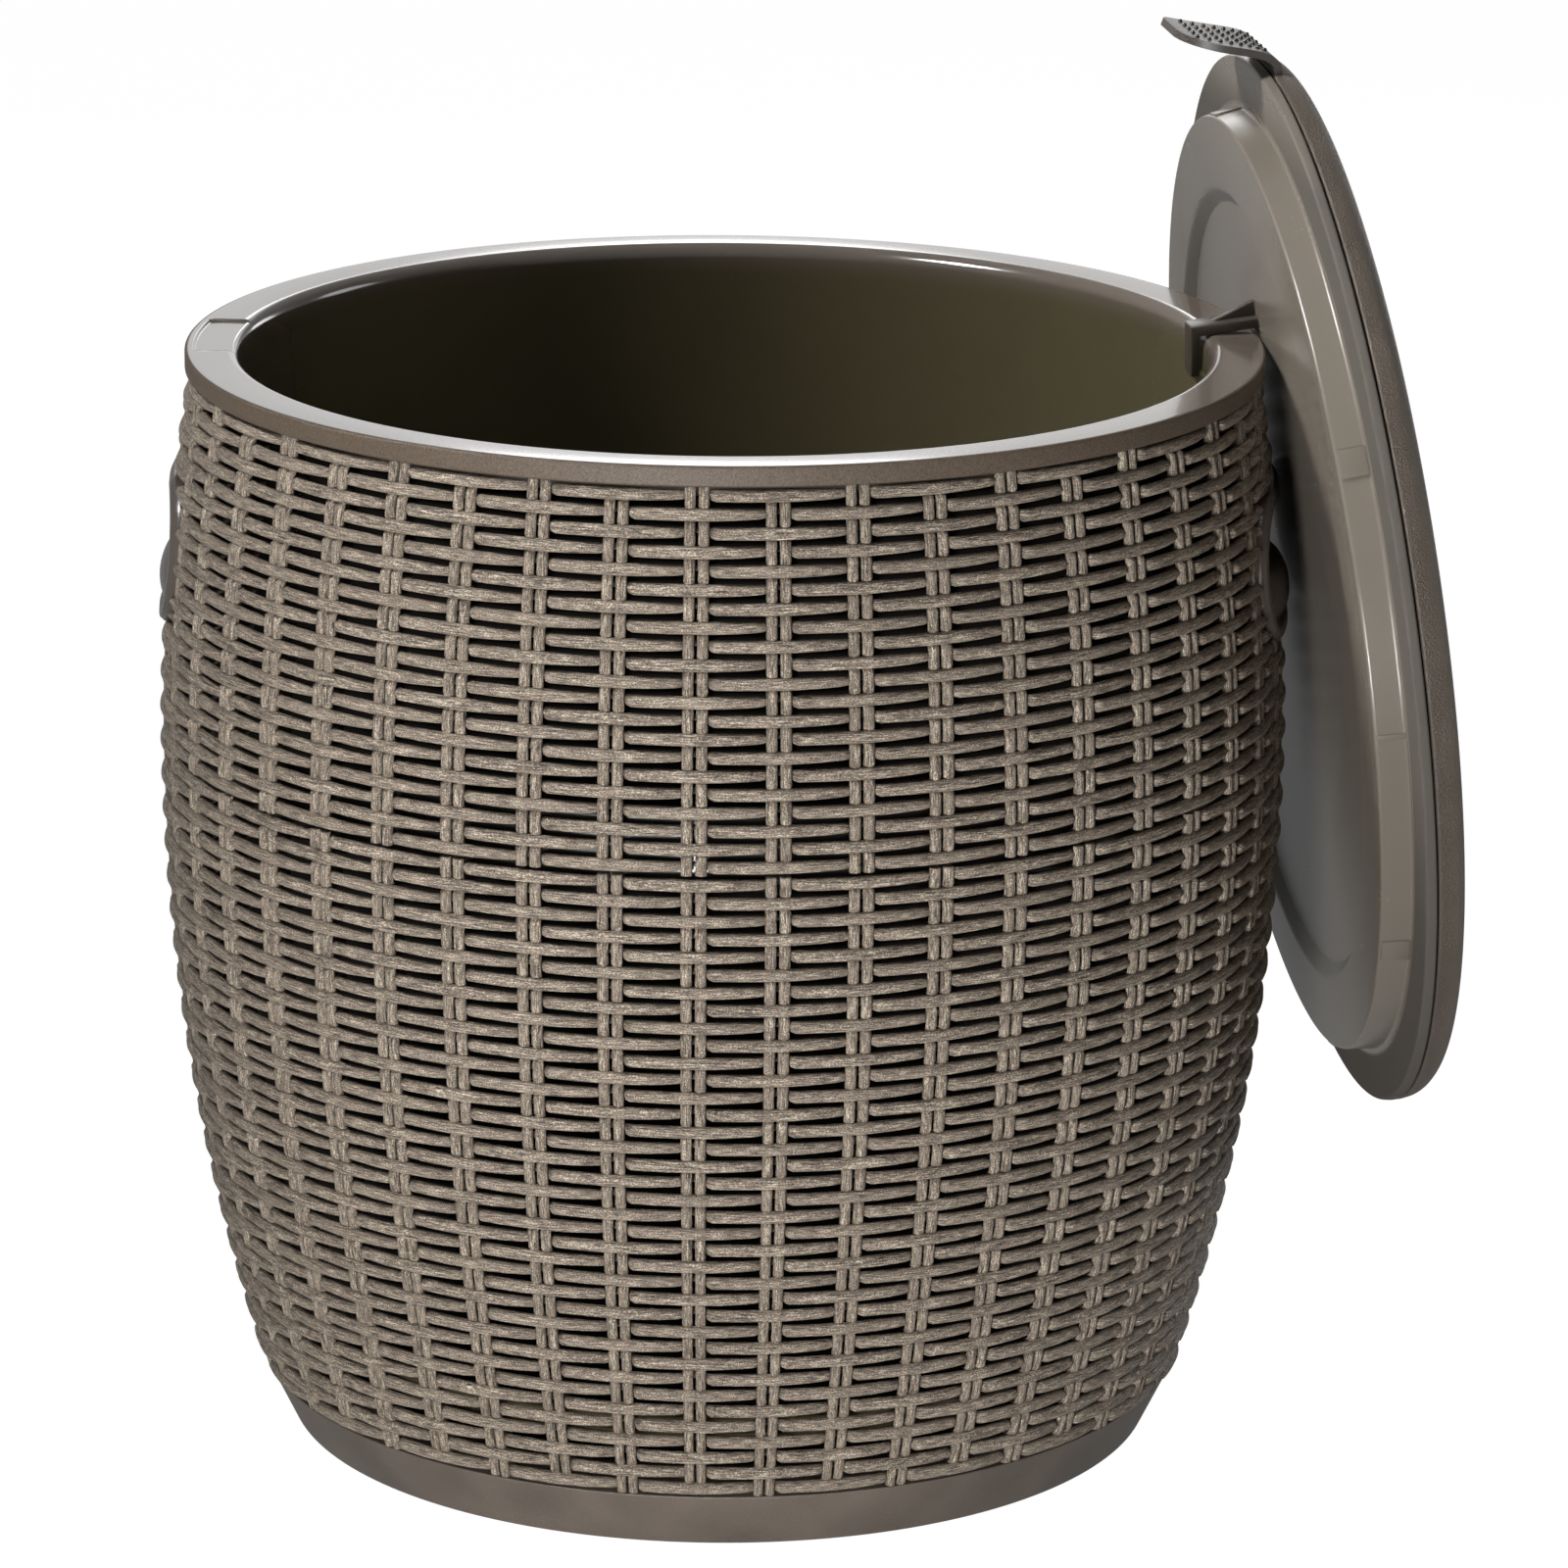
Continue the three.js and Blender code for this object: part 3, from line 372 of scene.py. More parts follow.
def soften(points, radius, steps=4):
    """Rounds every corner of an open profile between its two ends."""
    made = [points[0]]
    for before, corner, after in zip(points, points[1:], points[2:]):
        b, c, a = Vector(before), Vector(corner), Vector(after)
        reach = min(radius, (b - c).length * 0.48, (a - c).length * 0.48)
        start = c + (b - c).normalized() * reach
        end = c + (a - c).normalized() * reach
        for step in range(steps + 1):
            t = step / steps
            made.append(tuple(start * (1 - t) ** 2 + c * 2 * t * (1 - t) + end * t**2))
    made.append(points[-1])
    return made


def even_turns(count):
    return [2 * math.pi * i / count for i in range(count)]


def revolve(name, profile, turns=None, place=None, shape=None):
    """Turns a profile of (radius, height) round Z. shape may move each point."""
    turns = turns or even_turns(192)
    points = []
    for turn in turns:
        for radius, height in profile:
            point = (radius * math.cos(turn), radius * math.sin(turn), height)
            points.append(shape(point) if shape else point)
    faces = []
    size = len(profile)
    for i in range(len(turns)):
        j = (i + 1) % len(turns)
        for k in range(size - 1):
            if profile[k][0] == 0 and profile[k + 1][0] == 0:
                continue
            a, b = i * size + k, j * size + k
            faces.append((a, b, b + 1, a + 1))
    return welded(mesh_of(name, points, faces, place))


def welded(mesh):
    """Merges doubled points and turns all faces out."""
    work = bmesh.new()
    work.from_mesh(mesh)
    bmesh.ops.remove_doubles(work, verts=work.verts, dist=0.002 * MM)
    bmesh.ops.recalc_face_normals(work, faces=work.faces)
    work.to_mesh(mesh)
    work.free()
    return mesh


print("mesh helpers are ready")

# %% [markdown]
# Geometry trees for the weave
#
# A flat grid is copied once for each rod, and its two directions become the way
# along the rod and the way round its section. The tree then moves every point
# to its place on the barrel. Lying rods pass over one stake pair and sink
# behind the next, and the course above does the opposite.

# %% Geometry trees for the weave


def new_tree(name, inputs):
    """A geometry tree with named inputs. Returns the tree and its inputs as values."""
    tree = bpy.data.node_groups.new(name, "GeometryNodeTree")
    tree.interface.new_socket("Geometry", in_out="INPUT", socket_type="NodeSocketGeometry")
    for label, kind in inputs.items():
        tree.interface.new_socket(label, in_out="INPUT", socket_type=kind)
    tree.interface.new_socket("Geometry", in_out="OUTPUT", socket_type="NodeSocketGeometry")
    start = tree.nodes.new("NodeGroupInput")
    return tree, {label: Value(tree, start.outputs[label]) for label in ("Geometry", *inputs)}


def finish_tree(tree, geometry):
    end = tree.nodes.new("NodeGroupOutput")
    tree.links.new(geometry.socket, end.inputs["Geometry"])
    return tree


def barrel_field(height):
    """The barrel's radius as a field, the same formula as barrel()."""
    up = ((height - SEAM_HEIGHT).most(0.0) / (SHELL_TOP - SEAM_HEIGHT)) ** UPPER_POWER
    down = ((SEAM_HEIGHT - height).most(0.0) / (SEAM_HEIGHT - SHELL_FOOT)) ** LOWER_POWER
    upper_drop = up * (SEAM_RADIUS - SHELL_TOP_RADIUS)
    return SEAM_RADIUS - upper_drop - down * (SEAM_RADIUS - SHELL_FOOT_RADIUS)


def attribute(tree, name, kind="FLOAT"):
    return node(tree, "GeometryNodeInputNamedAttribute", {"Name": name}, data_type=kind)


def store(tree, geometry, name, value, kind="FLOAT", domain="POINT"):
    inputs = {"Geometry": geometry, "Name": name, "Value": value}
    return node(
        tree, "GeometryNodeStoreNamedAttribute", inputs, data_type=kind, domain=domain
    )


def section_grid(tree, along, around):
    """A grid whose own place is stored, to be bent to a rod later."""
    inputs = {"Size X": 1.0, "Size Y": 1.0, "Vertices X": along, "Vertices Y": around}
    grid = node(tree, "GeometryNodeMeshGrid", inputs)
    place = node(tree, "GeometryNodeInputPosition")
    return store(tree, grid, "strand", place, kind="FLOAT_VECTOR")


def handle_half_width(height):
    """Half the width of the handle's window at a height; 0 outside it."""
    corner = HANDLE_TALL / 2
    rise = abs(height - HANDLE_HEIGHT)
    inside = rise < corner
    return inside * (HANDLE_WIDTH / 2 - corner + (corner**2 - rise * rise).root())


def place_points(tree, geometry, x, y, z):
    spot = node(tree, "ShaderNodeCombineXYZ", [x * MM, y * MM, z * MM])
    return node(tree, "GeometryNodeSetPosition", {"Geometry": geometry, "Position": spot})


def close_tree(tree, geometry, finish):
    merged = node(
        tree, "GeometryNodeMergeByDistance", {"Geometry": geometry, "Distance": 0.02 * MM}
    )
    dressed = node(tree, "GeometryNodeSetMaterial", {"Geometry": merged, "Material": finish})
    return finish_tree(tree, dressed)


def lying_rods_tree():
    sockets = {
        "Rows": "NodeSocketInt",
        "Foot": "NodeSocketFloat",
        "Pitch": "NodeSocketFloat",
        "First": "NodeSocketInt",
    }
    tree, given = new_tree("Lying rods", sockets)
    steps = STAKE_PAIRS * ROD_STEPS
    grid = section_grid(tree, steps + 1, 9)
    line = node(tree, "GeometryNodeMeshLine", {"Count": given["Rows"]})
    rods = node(tree, "GeometryNodeInstanceOnPoints", {"Points": line, "Instance": grid})
    index = node(tree, "GeometryNodeInputIndex")
    rods = store(tree, rods, "row", index, domain="INSTANCE")
    rods = node(tree, "GeometryNodeRealizeInstances", {"Geometry": rods})

    along, around, _ = split(tree, attribute(tree, "strand", "FLOAT_VECTOR"))
    row = attribute(tree, "row")
    height = given["Foot"] + (row + 0.5) * given["Pitch"]
    share = (along + 0.5) * STAKE_PAIRS
    parity = (row + given["First"]) % 2.0
    share = share + ((share - parity) * math.pi).sine() * ROD_CROWDING
    phase = (share - parity + 1.0) % 2.0 - 1.0
    left = (phase * -1.0).most(0.0)
    right = phase.most(0.0)
    tip = ((left - ROD_TIP) / ROD_TIP_LENGTH).most(0.0).least(1.0)
    blunt = 1.0 - (1.0 - tip * tip).root()
    end = ((right - ROD_END) / (1.0 - ROD_END)).most(0.0)
    dive = (end * 1.3).least(1.0)
    thin = 1.0 - right * right * ROD_TAPER - dive * 0.3 - blunt * 0.6
    sink = right * right * ROD_BOW + dive * ROD_DIVE
    sink = sink + left * left * ROD_BACK + blunt * (ROD_BOW + ROD_DIVE - ROD_BACK)
    turn = around * (2 * math.pi)
    depth = turn.cosine() * (ROD_DEPTH / 2)
    rise = turn.sine() * (ROD_TALL / 2) * thin
    radius = barrel_field(height) - ROD_INSET - ROD_DEPTH / 2 - sink + depth
    angle = (share / STAKE_PAIRS - 0.5) * (2 * math.pi)
    x = radius * angle.sine()
    y = radius * angle.cosine() * -1.0
    window = handle_half_width(height)
    cut_y = y.math("SIGN") * abs(y).most(window)
    cut_x = x.math("SIGN") * (radius * radius - cut_y * cut_y).root()
    rods = store(tree, rods, "beside", window - abs(y))
    length = 2 * math.pi * SEAM_RADIUS
    around_length = math.pi * ROD_TALL
    fibre = node(tree, "ShaderNodeCombineXYZ", [along * length, around * around_length, row * 7.31])
    rods = store(tree, rods, "fibre", fibre, kind="FLOAT_VECTOR")
    rods = place_points(tree, rods, cut_x, cut_y, height + rise)
    longest_step = 2 * math.pi * SEAM_RADIUS / steps * 1.7
    hidden = attribute(tree, "beside") > longest_step
    rods = node(tree, "GeometryNodeDeleteGeometry", {"Geometry": rods, "Selection": hidden})
    return close_tree(tree, rods, WEAVE)


def stake_stubs_tree():
    sockets = {
        "Rows": "NodeSocketInt",
        "Foot": "NodeSocketFloat",
        "Pitch": "NodeSocketFloat",
        "First": "NodeSocketInt",
        "Lowest": "NodeSocketFloat",
        "Highest": "NodeSocketFloat",
    }
    tree, given = new_tree("Stake stubs", sockets)
    grid = section_grid(tree, 13, 11)
    columns = STAKE_PAIRS * 2
    field = {"Size X": 1.0, "Size Y": 1.0, "Vertices X": columns, "Vertices Y": given["Rows"]}
    points = node(tree, "GeometryNodeMeshGrid", field)
    spot_x, spot_y, _ = split(tree, node(tree, "GeometryNodeInputPosition"))
    points = store(tree, points, "column", ((spot_x + 0.5) * (columns - 1)).math("ROUND"))
    points = store(tree, points, "row", ((spot_y + 0.5) * (given["Rows"] - 1)).math("ROUND"))

    row = attribute(tree, "row")
    column = attribute(tree, "column")
    pair = (column / 2).math("FLOOR")
    side = (column % 2.0) - 0.5
    height = given["Foot"] + (row + 0.5) * given["Pitch"]
    middle = pair * (2 * math.pi / STAKE_PAIRS) + side * (STUB_SPACING / SEAM_RADIUS)
    covered = (pair + row + given["First"]) % 2.0 < 0.5
    reach = abs(middle.cosine() * SEAM_RADIUS)
    in_window = handle_half_width(height) > reach
    gone = {"Geometry": points, "Selection": covered.most(in_window)}
    points = node(tree, "GeometryNodeDeleteGeometry", gone)
    stubs = node(tree, "GeometryNodeInstanceOnPoints", {"Points": points, "Instance": grid})
    stubs = node(tree, "GeometryNodeRealizeInstances", {"Geometry": stubs})

    along, around, _ = split(tree, attribute(tree, "strand", "FLOAT_VECTOR"))
    z = height + along * STUB_LENGTH
    high = ((along * 2.0 - STUB_TOP) / (1.0 - STUB_TOP)).most(0.0)
    low = ((along * -2.0 - STUB_FOOT) / (1.0 - STUB_FOOT)).most(0.0).least(1.0)
    cap = (1.0 - low * low).root()
    sink = high**1.5 + 1.0 - cap
    waist = 1.0 - (1.0 - abs(along) * 4.0).most(0.0) * 0.06
    turn = around * (2 * math.pi)
    out = turn.cosine() * (STUB_DEPTH / 2) - sink * STUB_DIVE
    radius = barrel_field(z) - STUB_INSET - STUB_DEPTH / 2 + out
    half_width = waist * (0.45 + cap * 0.55) * (STUB_WIDTH / 2)
    angle = middle + turn.sine() * half_width / SEAM_RADIUS
    around_length = math.pi * STUB_WIDTH
    strand = row * 3.17 + column * 5.93
    fibre = node(tree, "ShaderNodeCombineXYZ", [z * 1.0, around * around_length, strand])
    stubs = store(tree, stubs, "fibre", fibre, kind="FLOAT_VECTOR")
    kept_z = z.most(given["Lowest"]).least(given["Highest"])
    stubs = place_points(tree, stubs, radius * angle.sine(), radius * angle.cosine() * -1.0, kept_z)
    return close_tree(tree, stubs, WEAVE)


RODS = lying_rods_tree()
STUBS = stake_stubs_tree()
print("weave trees hold", len(RODS.nodes) + len(STUBS.nodes), "nodes")

# %% [markdown]
# Weaving the shells
#
# Each tree runs on an empty mesh, and its result is kept as a plain mesh. The
# lower shell's rods are made in two halves to keep each mesh light.

# %% Weaving the shells


def grow(name, tree, values, start=None):
    """Runs a geometry tree with named inputs on a mesh or an empty one; returns the plain mesh."""
    carrier = bpy.data.objects.new(name, start or bpy.data.meshes.new(name))
    bpy.context.scene.collection.objects.link(carrier)
    modifier = carrier.modifiers.new("tree", "NODES")
    modifier.node_group = tree
    for item in tree.interface.items_tree:
        if item.name in values:
            modifier[item.identifier] = values[item.name]
    graph = bpy.context.evaluated_depsgraph_get()
    mesh = bpy.data.meshes.new_from_object(carrier.evaluated_get(graph))
    bpy.data.objects.remove(carrier)
    mesh.name = name
    for label in ("beside", "column", "row", "strand"):
        if label in mesh.attributes:
            mesh.attributes.remove(mesh.attributes[label])
    return mesh


UPPER_PITCH = (SHELL_TOP - SEAM_HEIGHT) / UPPER_ROWS
LOWER_PITCH = (SEAM_HEIGHT - SHELL_FOOT) / LOWER_ROWS
HALF_ROWS = LOWER_ROWS // 2
LOWER_MIDDLE = SHELL_FOOT + HALF_ROWS * LOWER_PITCH
upper = {"Rows": UPPER_ROWS, "Foot": SEAM_HEIGHT, "Pitch": UPPER_PITCH, "First": 1}
upper |= {"Lowest": SEAM_HEIGHT + 0.3, "Highest": SHELL_TOP}
lower = {"Rows": HALF_ROWS, "Foot": SHELL_FOOT, "Pitch": LOWER_PITCH, "First": 0}
lower |= {"Lowest": SHELL_FOOT + 0.2, "Highest": SEAM_HEIGHT - 0.3}
middle = lower | {"Rows": LOWER_ROWS - HALF_ROWS, "Foot": LOWER_MIDDLE, "First": HALF_ROWS % 2}

for label, values, node_name in (
    ("upper", upper, "wicker_shell_upper"),
    ("middle", middle, "wicker_shell_lower"),
    ("lower", lower, "wicker_shell_lower"),
):
    for kind, tree in (("rods", RODS), ("stubs", STUBS)):
        name = f"weave_{kind}_{label}"
        piece(name, grow(name, tree, values), "barrel", WEAVE, [node_name], 80)

# %% [markdown]
# Plain parts of the shells
#
# Inside the weave the lower shell carries a lap collar, which shines through
# above the seam. The upper shell ends in a plain neck under the rim.

# %% Plain parts of the shells
COLLAR_INSIDE = 11.0  # from the weave's crests in to the collar's inner face
COLLAR_FOOT = SEAM_HEIGHT - 9.0
COLLAR_TOP = SEAM_HEIGHT + 20.0
collar = [
    (barrel(COLLAR_FOOT) - 9.0, COLLAR_FOOT),
    (barrel(SEAM_HEIGHT) - 7.8, SEAM_HEIGHT),
    (barrel(COLLAR_TOP) - 8.6, COLLAR_TOP),
    (barrel(COLLAR_TOP) - COLLAR_INSIDE, COLLAR_TOP),
    (barrel(SEAM_HEIGHT) - COLLAR_INSIDE, SEAM_HEIGHT),
    (barrel(COLLAR_FOOT) - COLLAR_INSIDE, COLLAR_FOOT),
]
piece("lap_collar", revolve("lap_collar", soften(collar, 0.8)), "barrel", COLLAR, ())
NECK_INSIDE = 188.5
NECK_RADIUS = RIM_RADIUS - 2.6
NECK_FOOT = 400.0
NECK_TOP = 408.6
neck = [
    (NECK_INSIDE, NECK_FOOT),
    (NECK_INSIDE + 5.0, NECK_FOOT),
    (NECK_RADIUS, 404.3),
    (NECK_RADIUS, NECK_TOP),
    (NECK_INSIDE, NECK_TOP),
]
piece("shell_neck", revolve("shell_neck", soften(neck, 0.6)), "barrel", COLLAR, ())

# %% [markdown]
# Bucket and rim
#
# The bucket is one profile from its floor over the lip and the flat rim to the
# skirt. A shallow recess for the fingers crosses the rim at the left.

# %% Bucket and rim
RECESS_HALF_WIDTH = 26.2
RECESS_DEPTH = 0.8
RECESS_OUTSIDE = 196.5
BUCKET_WALL = 3.0
SKIRT_WALL = 2.2


def bucket_radius(height):
    low = BUCKET_FLOOR + BUCKET_CORNER
    share = (height - low) / (RIM_HEIGHT - LIP - low)
    return BUCKET_FOOT_RADIUS + (MOUTH_RADIUS - BUCKET_FOOT_RADIUS) * share


def smooth(value, low, high):
    share = min(max((value - low) / (high - low), 0.0), 1.0)
    return share * share * (3 - 2 * share)


def recessed(point):
    """Lowers what lies inside the finger recess to the recess's floor."""
    x, y, z = point
    floor = RIM_HEIGHT - RECESS_DEPTH
    if x > 0 or z < floor:
        return point
    radius = math.hypot(x, y)
    side = smooth(RECESS_HALF_WIDTH - abs(y), -0.5, 0.6)
    end = smooth(RECESS_OUTSIDE - radius, -0.5, 0.6)
    return (x, y, z - (z - floor) * side * end)


def rim_turns():
    """Angles round the rim, closer together at the recess's two sides."""
    turns = even_turns(240)
    edge = RECESS_HALF_WIDTH / 190.0
    for side in (-edge, edge):
        turns += [math.pi + side + step * 0.0012 for step in range(-6, 7)]
    return sorted(set(turns))


def lip_points(steps=10):
    centre = MOUTH_RADIUS + LIP
    made = []
    for step in range(steps + 1):
        angle = math.pi - step / steps * math.pi / 2
        made.append((centre + LIP * math.cos(angle), RIM_HEIGHT - LIP + LIP * math.sin(angle)))
    return made


floor_corner = soften(
    [
        (0.0, BUCKET_FLOOR),
        (BUCKET_FOOT_RADIUS, BUCKET_FLOOR),
        (bucket_radius(RIM_HEIGHT - LIP - 1), RIM_HEIGHT - LIP - 1),
    ],
    BUCKET_CORNER,
    8,
)
flat = [(RECESS_OUTSIDE + step * 0.28, RIM_HEIGHT) for step in range(-3, 4)]
outside = soften(
    [
        (197.4, RIM_HEIGHT),
        (RIM_RADIUS, RIM_HEIGHT),
        (RIM_RADIUS, SHELL_TOP + 0.3),
        (RIM_RADIUS - SKIRT_WALL, SHELL_TOP + 0.3),
        (RIM_RADIUS - SKIRT_WALL, RIM_HEIGHT - FLANGE),
        (MOUTH_RADIUS + 4.0, RIM_HEIGHT - FLANGE),
        (bucket_radius(390.0) + BUCKET_WALL, 390.0),
        (BUCKET_FOOT_RADIUS + BUCKET_WALL, BUCKET_FLOOR + BUCKET_CORNER),
        (BUCKET_FOOT_RADIUS + BUCKET_WALL - BUCKET_CORNER, BUCKET_FLOOR - BUCKET_WALL),
        (0.0, BUCKET_FLOOR - BUCKET_WALL),
    ],
    1.9,
    5,
)
bucket_profile = floor_corner + lip_points() + flat + outside
bucket_mesh = revolve("bucket", bucket_profile, rim_turns(), shape=recessed)
piece("bucket", bucket_mesh, "barrel", RIM, ["liner_bucket"], 50)

# %% [markdown]
# Base band
#
# The plain band at the foot closes the barrel. Its floor carries a ring to
# stand on and a boss in the middle.

# %% Base band
FOOT_RADIUS = 164.0  # outside of the ring that the barrel stands on
FOOT_RING = 12.0  # its width
PAN_LIFT = 4.0  # underside of the pan's floor
PAN_TOP = 7.0
BOSS_RADIUS = 30.0
BAND_RADIUS = 174.6  # the band's outside at its top
BAND_TOP = 22.0
SPIGOT_RADIUS = 168.5
SPIGOT_TOP = 31.5
foot_inside = FOOT_RADIUS - FOOT_RING
base_profile = soften(
    [
        (0.0, 0.0),
        (BOSS_RADIUS, 0.0),
        (BOSS_RADIUS + 1.0, PAN_LIFT),
        (foot_inside - 0.5, PAN_LIFT),
        (foot_inside, 0.0),
        (FOOT_RADIUS, 0.0),
        (BAND_RADIUS, BAND_TOP),
        (SPIGOT_RADIUS, BAND_TOP),
        (SPIGOT_RADIUS, SPIGOT_TOP),
        (SPIGOT_RADIUS - 3.0, SPIGOT_TOP),
        (FOOT_RADIUS - 1.0, PAN_TOP),
        (0.0, PAN_TOP),
    ],
    1.0,
)
base_mesh = revolve("base_band", base_profile)
piece("base_band", base_mesh, "barrel", BAND, ["base_pan"], 50)

# %% [markdown]
# Handle inserts
#
# An insert is a rounded frame let into the weave. Its height field has a
# finger pocket in the upper half and a bulging hood below it.

# %% Handle inserts


def pill_distance(y, z, half_width, half_tall):
    """Distance inside a pill-shaped outline; negative outside."""
    straight = half_width - half_tall
    return half_tall - math.hypot(max(abs(y) - straight, 0.0), z)


BEZEL_PROUD = 1.2
BEZEL_WIDTH = 4.4
BEZEL_SLOPE = 1.6  # from the bezel's top down to the face inside it, along the face
FACE_SUNK = 3.4  # how far that face lies below the bezel's top
POCKET_CENTRE = 9.0  # above the handle's middle
POCKET_HALF_WIDTH = 44.0
POCKET_HALF_TALL = 11.5
POCKET_DEPTH = 16.0
HOOD_CENTRE = -13.0
HOOD_HALF_WIDTH = 46.0
HOOD_HALF_TALL = 13.5
HOOD_ROOT = -6.5  # the hood's edge, below the weave
HOOD_RISE = 8.9


def insert_height(y, z):
    """How far the insert stands out of the weave, at a place on its face."""
    edge = pill_distance(y, z, HANDLE_WIDTH / 2, HANDLE_TALL / 2)
    frame_top = BEZEL_PROUD - 1.6 * (1 - smooth(edge, 0.0, 1.8))
    height = frame_top - FACE_SUNK * smooth(edge, BEZEL_WIDTH, BEZEL_WIDTH + BEZEL_SLOPE)
    pocket = pill_distance(y, z - POCKET_CENTRE, POCKET_HALF_WIDTH, POCKET_HALF_TALL)
    hood = 1 - (y / HOOD_HALF_WIDTH) ** 2 - ((z - HOOD_CENTRE) / HOOD_HALF_TALL) ** 2
    if hood > 0 and edge > BEZEL_WIDTH:
        height = max(height, HOOD_ROOT + HOOD_RISE * math.sqrt(hood))
    return height - POCKET_DEPTH * smooth(pocket, -0.4, 1.6)


def insert_mesh(name, side):
    """A sheet that runs in from behind the outline over the frame to the middle."""
    tall = HANDLE_TALL / 2
    straight = HANDLE_WIDTH / 2 - tall
    insets = [0.0, 0.3, 0.8, 1.4, 2.0, 3.2, 4.4, 4.9, 5.4, 6.0]
    insets += [6.0 + (tall - 6.0) * step / 24 for step in range(1, 24)]
    outline = []
    for step in range(96):
        turn = 2 * math.pi * step / 96
        outline.append((math.copysign(straight, math.cos(turn)), turn))
    stretch = [straight * (2 * step / 24 - 1) for step in range(1, 24)]
    ring = [r for r in outline if r[0] > 0 and r[1] <= math.pi]
    ring += [(-s, math.pi / 2) for s in stretch]
    ring += [r for r in outline if math.pi / 2 < r[1] < 3 * math.pi / 2]
    ring += [(s, 3 * math.pi / 2) for s in stretch]
    ring += [r for r in outline if r[1] > 3 * math.pi / 2]
    points = []
    levels = [(0.0, -7.0), (0.0, -3.0)] + [(inset, None) for inset in insets]
    for inset, sunk in levels:
        for centre, turn in ring:
            y = centre + (tall - inset) * math.cos(turn)
            z = (tall - inset) * math.sin(turn)
            height = insert_height(y, z) if sunk is None else sunk
            radius = barrel(HANDLE_HEIGHT + z) + height
            points.append((side * math.sqrt(radius**2 - y**2), y, HANDLE_HEIGHT + z))
    size = len(ring)
    faces = []
    for level in range(len(levels) - 1):
        for i in range(size):
            j = (i + 1) % size
            a, b = level * size, (level + 1) * size
            faces.append((a + i, a + j, b + j, b + i))
    last = (len(levels) - 1) * size
    half = size // 2
    for i in range(half - 1):
        faces.append((last + i, last + i + 1, last + size - 2 - i, last + size - 1 - i))
    return welded(mesh_of(name, points, faces))


for side, word in ((1, "right"), (-1, "left")):
    name = f"handle_{word}"
    mesh = insert_mesh(name, side)
    piece(name, mesh, "barrel", INSERT, [f"handle_insert_{word}"], 60)

# %% [markdown]
# Lid
#
# The lid is made closed, with its underside's flange at height 0 and the hook
# and tab towards -X, and is then hung on the rim by one matrix.

# %% Lid
LID_TOP = 16.6  # height of the table top's edge
LID_SEAM = 4.2  # height of the seam between the lid's two shells
LID_SEAM_GAP = 0.6
LID_TUCK = 197.6  # how far out the shells' edges reach inside the seam
LID_WALL = 2.7
PLUG_RADIUS = 178.0
PLUG_DEPTH = 11.5
DISH_RADIUS = 150.5
DISH_SLOPE = 7.5  # width of the recess's sloping edge
DISH_FLOOR = 6.5
HOOK_SEAT = 100.5  # from the lid's middle to the face that rests on the rim
HOOK_REACH = 22.7  # from the recess's floor to the hook's leg
HOOK_HALF_WIDTH = 6.5
HOOK_THICKNESS = 4.0
HOOK_ROOT = 5.6  # how deep the hook's root starts, inside the shell
LEG_LENGTH = 15.0
LEG_THICKNESS = 3.2
LEG_GAP = 0.5  # from the leg to the bucket's wall
GUSSET_REACH = 23.5
GUSSET_RISE = 6.0
GUSSET_HALF_WIDTH = 1.7
leg_height = RIM_HEIGHT - HOOK_THICKNESS - LEG_LENGTH
leg_radius = bucket_radius(leg_height) * math.cos(math.pi / STAKE_PAIRS) - LEG_GAP
leg_depth = DISH_FLOOR + HOOK_REACH
rest_radius = MOUTH_RADIUS + LIP
rest_depth = leg_depth - (rest_radius - leg_radius) / math.cos(HANG_LEAN)
lean_x = rest_radius + HOOK_SEAT * math.sin(HANG_LEAN) + rest_depth * math.cos(HANG_LEAN)
lean_z = RIM_HEIGHT + 0.3 - HOOK_SEAT * math.cos(HANG_LEAN) + rest_depth * math.sin(HANG_LEAN)
LID_PLACE = (
    Matrix.Rotation(HANG_TURN, 4, "Z")
    @ Matrix.Translation((lean_x, 0, lean_z))
    @ Matrix.Rotation(math.pi / 2 - HANG_LEAN, 4, "Y")
)


def lid_fields(tree):
    """Distance from the lid's axis, height along it and height above the floor, in mm."""
    x, y, z = split(tree, node(tree, "ShaderNodeTexCoord", output="Object"))
    middle = LID_PLACE.translation
    axis = LID_PLACE.col[2]
    x, y, z = x / MM - middle.x, y / MM - middle.y, z / MM - middle.z
    height = x * axis.x + y * axis.y + z * axis.z
    radius = (x * x + y * y + z * z - height * height).root()
    return radius, height, z + middle.z


# The underside's flange is made rougher below its top and painted darker there, as painted shade.
lid_radius, _, above_floor = lid_fields(UNDER.node_tree)
painted_shade_and_dull = ramp(lid_radius, 181.0, 183.0) * ramp(above_floor, 508.0, 480.0)
reshade(UNDER, [1.0 - painted_shade_and_dull * 0.5] * 3, painted_shade_and_dull * 0.5)
# The table top's rounded edge is painted lighter than its face, as painted light.
lid_radius, lid_height, _ = lid_fields(TOP.node_tree)
painted_light_edge = ramp(lid_radius, 186.0, 195.0) * ramp(lid_height, 7.0, 14.0)
reshade(TOP, [1.0 + painted_light_edge * 0.9] * 3, 0.0)

